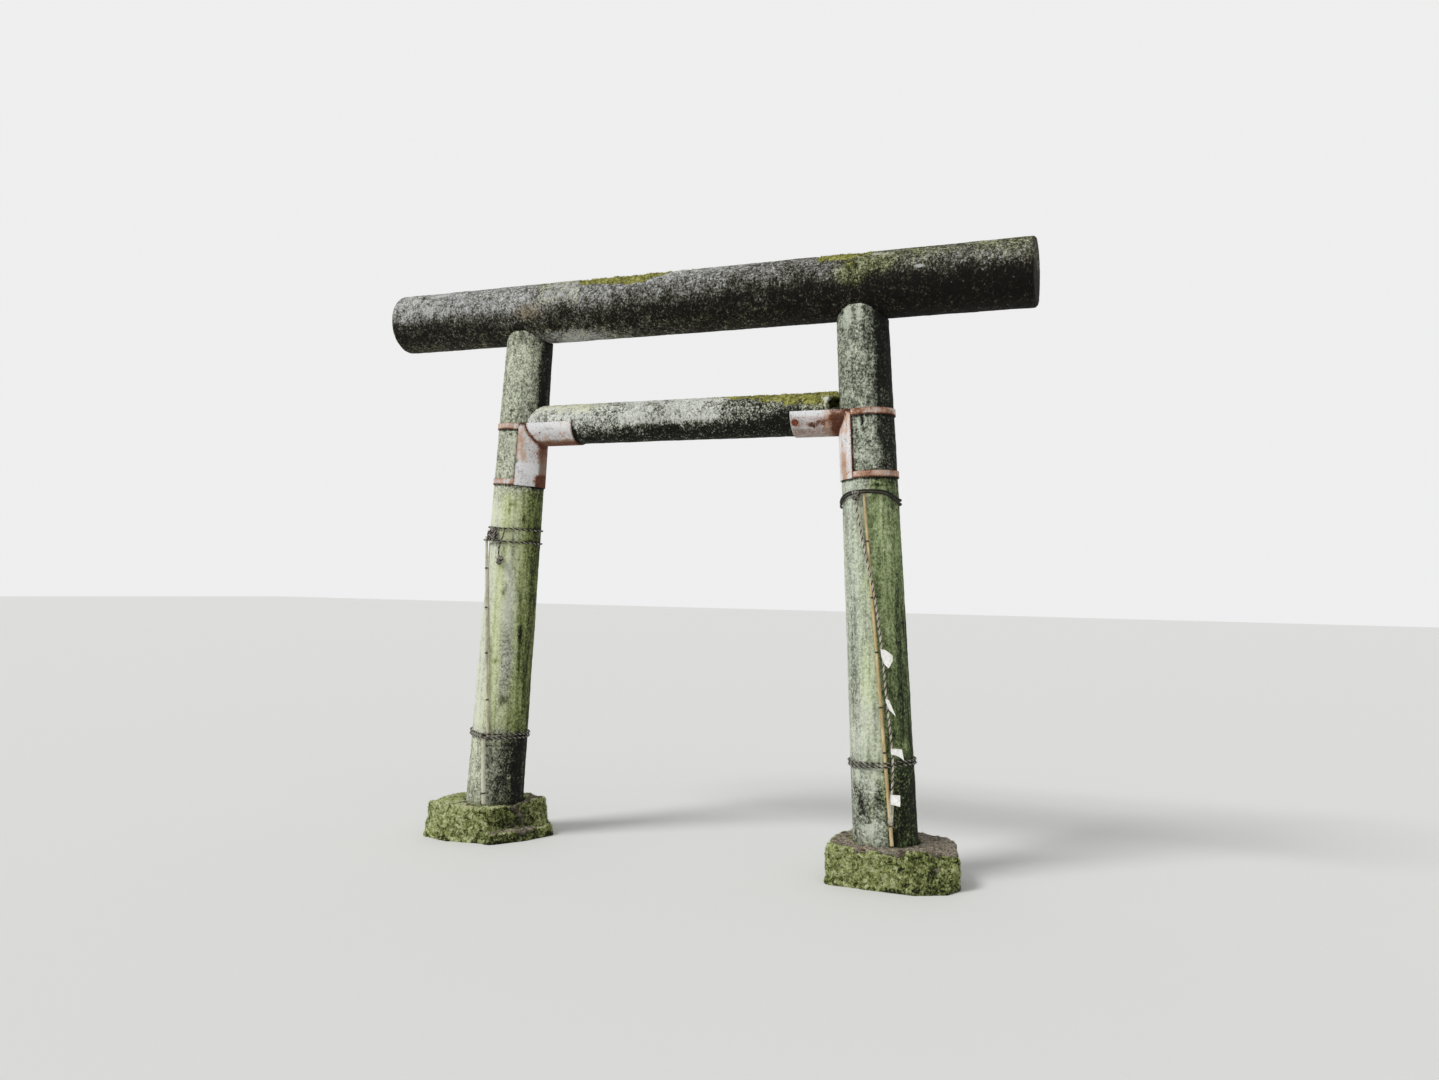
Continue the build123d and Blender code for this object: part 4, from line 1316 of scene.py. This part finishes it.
def knot_wraps(side, height, turn, wide, tall, off, count, tilt):
    """Wraps of cord that bunch up a knot beside a post."""
    centre = Vector(polar(side, height, turn, off))
    angle = radians(turn)
    out = Vector((sin(angle), -cos(angle), 0))
    across = Vector((cos(angle), sin(angle), 0))
    middle = (count - 1) / 2
    extra = []
    for k in range(count):
        shift = (k - middle) / (count - 1) * (wide - CORD)
        place = centre + across * shift + UP * rng.uniform(-0.004, 0.004)
        size = tall * (1 - 0.35 * abs(2 * (k - middle) / count))
        line = wrap(place, across, 0.002, size, CORD * 2.6, tilt + rng.uniform(-0.15, 0.15))
        extra.append((line, tuple(across), True))
    for k, lean in enumerate((0.9, -0.8)):
        line = wrap(centre + out * (CORD * (0.9 + 0.5 * k)), across, 0.001, tall * 0.75, CORD * 1.6, lean)
        extra.append((line, tuple(out), True))
    return extra


tail = route(
    LEFT, (1.417, 10, 0.013), (1.384, 8, 0.012), (1.345, 3, 0.012), (1.3, -2, 0.01), (1.255, 3, 0.01))
left_knot = knot_wraps(LEFT, 1.386, -19, 0.062, 0.07, 0.014, 6, 0.1)
left_knot += knot_wraps(LEFT, 1.2486, 5, 0.026, 0.044, 0.012, 4, 0.3)
left_knot.append((spline(tail, 0.003), (0, 1, 0), False))
left_rod, foot_rod, right_rod = left_route[-2:], foot_route[::2], right_route[::2]
lashing("left_upper", LEFT, [(1.352, left_rod), (1.42,)], left_knot)
lashing("left_lower", LEFT, [(height, foot_rod, 0.0155) for height in (0.338, 0.356)])
right_knot = knot_wraps(RIGHT, 1.567, -13, 0.03, 0.044, 0.012, 4, 0.2)
arches = [(1.5464, right_rod, CANE_R, 0.051), (1.5618, right_rod, CANE_R, 0.043)]
lashing("right_upper", RIGHT, arches, right_knot, 1.15, 0)
lashing("right_lower", RIGHT, [(height, right_rod) for height in (0.343, 0.36)])

# The rope down the right post, twisted above a height over the stone's top and loose below it

LOOSE_BELOW = 0.235
rope_line = spline(route(
    RIGHT, (1.5325, -13, 0.021), (1.43, -8, 0.015), (1.32, -1, 0.02), (1.225, 6.5, 0.027),
    (1.12, 12.5, 0.024), (0.985, 17.5, 0.016), (0.83, 22, 0.012), (0.68, 24.5, 0.01), (0.54, 28, 0.009),
    (0.425, 29.5, 0.022), (0.35, 29, 0.03), (0.27, 26.5, 0.03), (0.19, 23.5, 0.031), (0.095, 22, 0.031),
), 0.0035)
split = int(np.searchsorted(-rope_line[:, 2], -(STONE_TOP + LOOSE_BELOW)))
twisted, loose = rope_line[: split + 1], rope_line[split:]
*pale_parts, dark_strand = strands(twisted, 0.0056, 0.034, (0, -1, 0), sides=7, ragged=0.12)
bulge = np.sin(np.linspace(0, pi, len(loose)))[:, None]
for dx, dy, thick in (
    (-0.0046, 0.0, 0.0024), (-0.0012, -0.0036, 0.0026), (0.0022, -0.002, 0.0022), (0.0048, 0.0, 0.0025),
):
    fan = bulge * np.array((dx * 1.1, dy * 0.8, 0))
    pale_parts.append(tube(loose + np.array((dx, dy, 0)) * 0.55 + fan, thick, 7, (0, -1, 0)))
pale_parts.append(fibres([twisted, loose], 240, 0.012, 0.00035))
new_piece("rope_pale_strands", joined(pale_parts), pale_rope, "rope", "right_rope")
dark_parts = [dark_strand, fibres([twisted], 120, 0.01, 0.00035)]
new_piece("rope_dark_strand", joined(dark_parts), dark_rope, "rope")


def rope_at(z):
    return rope_line[np.argmin(np.abs(rope_line[:, 2] - z))]


foot, head = right_rod
cane_at = foot + (head - foot) * (0.108 / (head[2] - foot[2]))
gap = rope_at(cane_at[2]) - cane_at
middle = (cane_at + rope_at(cane_at[2])) / 2
ahead = gap / np.linalg.norm(gap)
beside = np.cross(ahead, (0, 0, 1))
ties = []
for k in range(4):
    centre = middle + np.array((0, 0, (k - 1.5) * 0.0042))
    oval = [
        centre + ahead * cos(turn) * (np.linalg.norm(gap) / 2 + 0.0085) + beside * sin(turn) * 0.0095
        + np.array((0, 0, 0.002 * sin(turn + k)))
        for turn in np.linspace(0, 2 * pi, 49)[:-1]
    ]
    ties.append(tube(evenly(oval, 0.003, closed=True), 0.002, 7, (0, 0, 1), closed=True))
new_piece("rope_foot_tie", joined(ties), pale_rope, "rope", "right_rope_tie")

# Paper streamers: height on the post, outline from the corner at the rope in mm, folds

PAPERS = (
    (0.872, ((-4, 0), (16, -2), (60, -26), (60, -50), (38, -84), (14, -66), (0, -30)), (1.0, 0.35)),
    (0.648, ((-4, 0), (12, -2), (50, -72), (14, -46), (-2, -12)), (0.8, 0.6)),
    (0.432, ((-4, 0), (52, 2), (66, -44), (32, -32), (-2, -26)), (0.9, -0.4)),
    (0.232, ((-4, 0), (44, 4), (44, -46), (-2, -44)), (0.5, 0.9)),
)
papers = []
for k, (height, outline, folds) in enumerate(PAPERS):
    x, y, z = rope_at(STONE_TOP + height)
    low = rope_at(STONE_TOP + height + outline[-1][1] / 1000)
    papers.append(streamer((x, min(y, low[1]) - 0.0066, z), outline, folds, k * 0.37))
sharpen(new_piece("papers", joined(papers), paper_finish(), "paper", "paper_streamers"), 30.0)

# Floor, light and camera

floor_mesh = bpy.data.meshes.new("floor")
floor_mesh.from_pydata([(-60, -60, 0), (60, -60, 0), (60, 60, 0), (-60, 60, 0)], [], [(0, 1, 2, 3)])
plain = Finish("pale_floor", 0.9)
plain.shader.inputs["Base Color"].default_value = tint("dededc")
floor_mesh.materials.append(plain.material)
new_object("floor", floor_mesh)

# A sky of even light, brighter where it is seen straight, in gloss or through glass
world = bpy.data.worlds.new("studio")
bpy.context.scene.world = world
world.use_nodes = True
sky = world.node_tree
back = sky.nodes["Background"]
back.inputs["Color"].default_value = (1.0, 1.0, 1.0, 1.0)
rays = add_node(sky, "ShaderNodeLightPath").outputs
strength = 0.5
for ray in ("Is Camera Ray", "Is Glossy Ray", "Is Transmission Ray"):
    inputs = {0: rays[ray], 1: 0.36, 2: strength}
    strength = add_node(sky, "ShaderNodeMath", inputs, operation="MULTIPLY_ADD").outputs[0]
sky.links.new(strength, back.inputs["Strength"])

# A very soft far light, even over the whole floor
sun = bpy.data.lights.new("key", "SUN")
sun.energy = 1.9
sun.angle = radians(18.0)
new_object("key", sun).rotation_euler = Vector((0.62, 0.72, -1.05)).to_track_quat("-Z", "Y").to_euler()

# The photograph's camera: its place, its three turns and its focal length over its width in pixels
EYE = Vector((2.158, -4.946, 1.316))
YAW, PITCH, ROLL = radians(-21.58), radians(2.53), radians(1.11)
PHOTO_FOCAL, PHOTO_WIDTH = 1081.0, 1439.0
ahead = Vector((sin(YAW) * cos(PITCH), cos(YAW) * cos(PITCH), sin(PITCH)))
level_right = ahead.cross(UP).normalized()
level_up = level_right.cross(ahead)
right_way = level_right * cos(ROLL) + level_up * sin(ROLL)
up_way = level_up * cos(ROLL) - level_right * sin(ROLL)
pose = Matrix((right_way, up_way, -ahead)).transposed().to_4x4()
camera_data = bpy.data.cameras.new("camera")
camera_data.sensor_width = 36.0
camera_data.lens = camera_data.sensor_width * PHOTO_FOCAL / PHOTO_WIDTH
camera = new_object("camera", camera_data)
camera.matrix_world = Matrix.Translation(EYE) @ pose
bpy.context.scene.camera = camera
bpy.context.scene.view_settings.view_transform = "Standard"
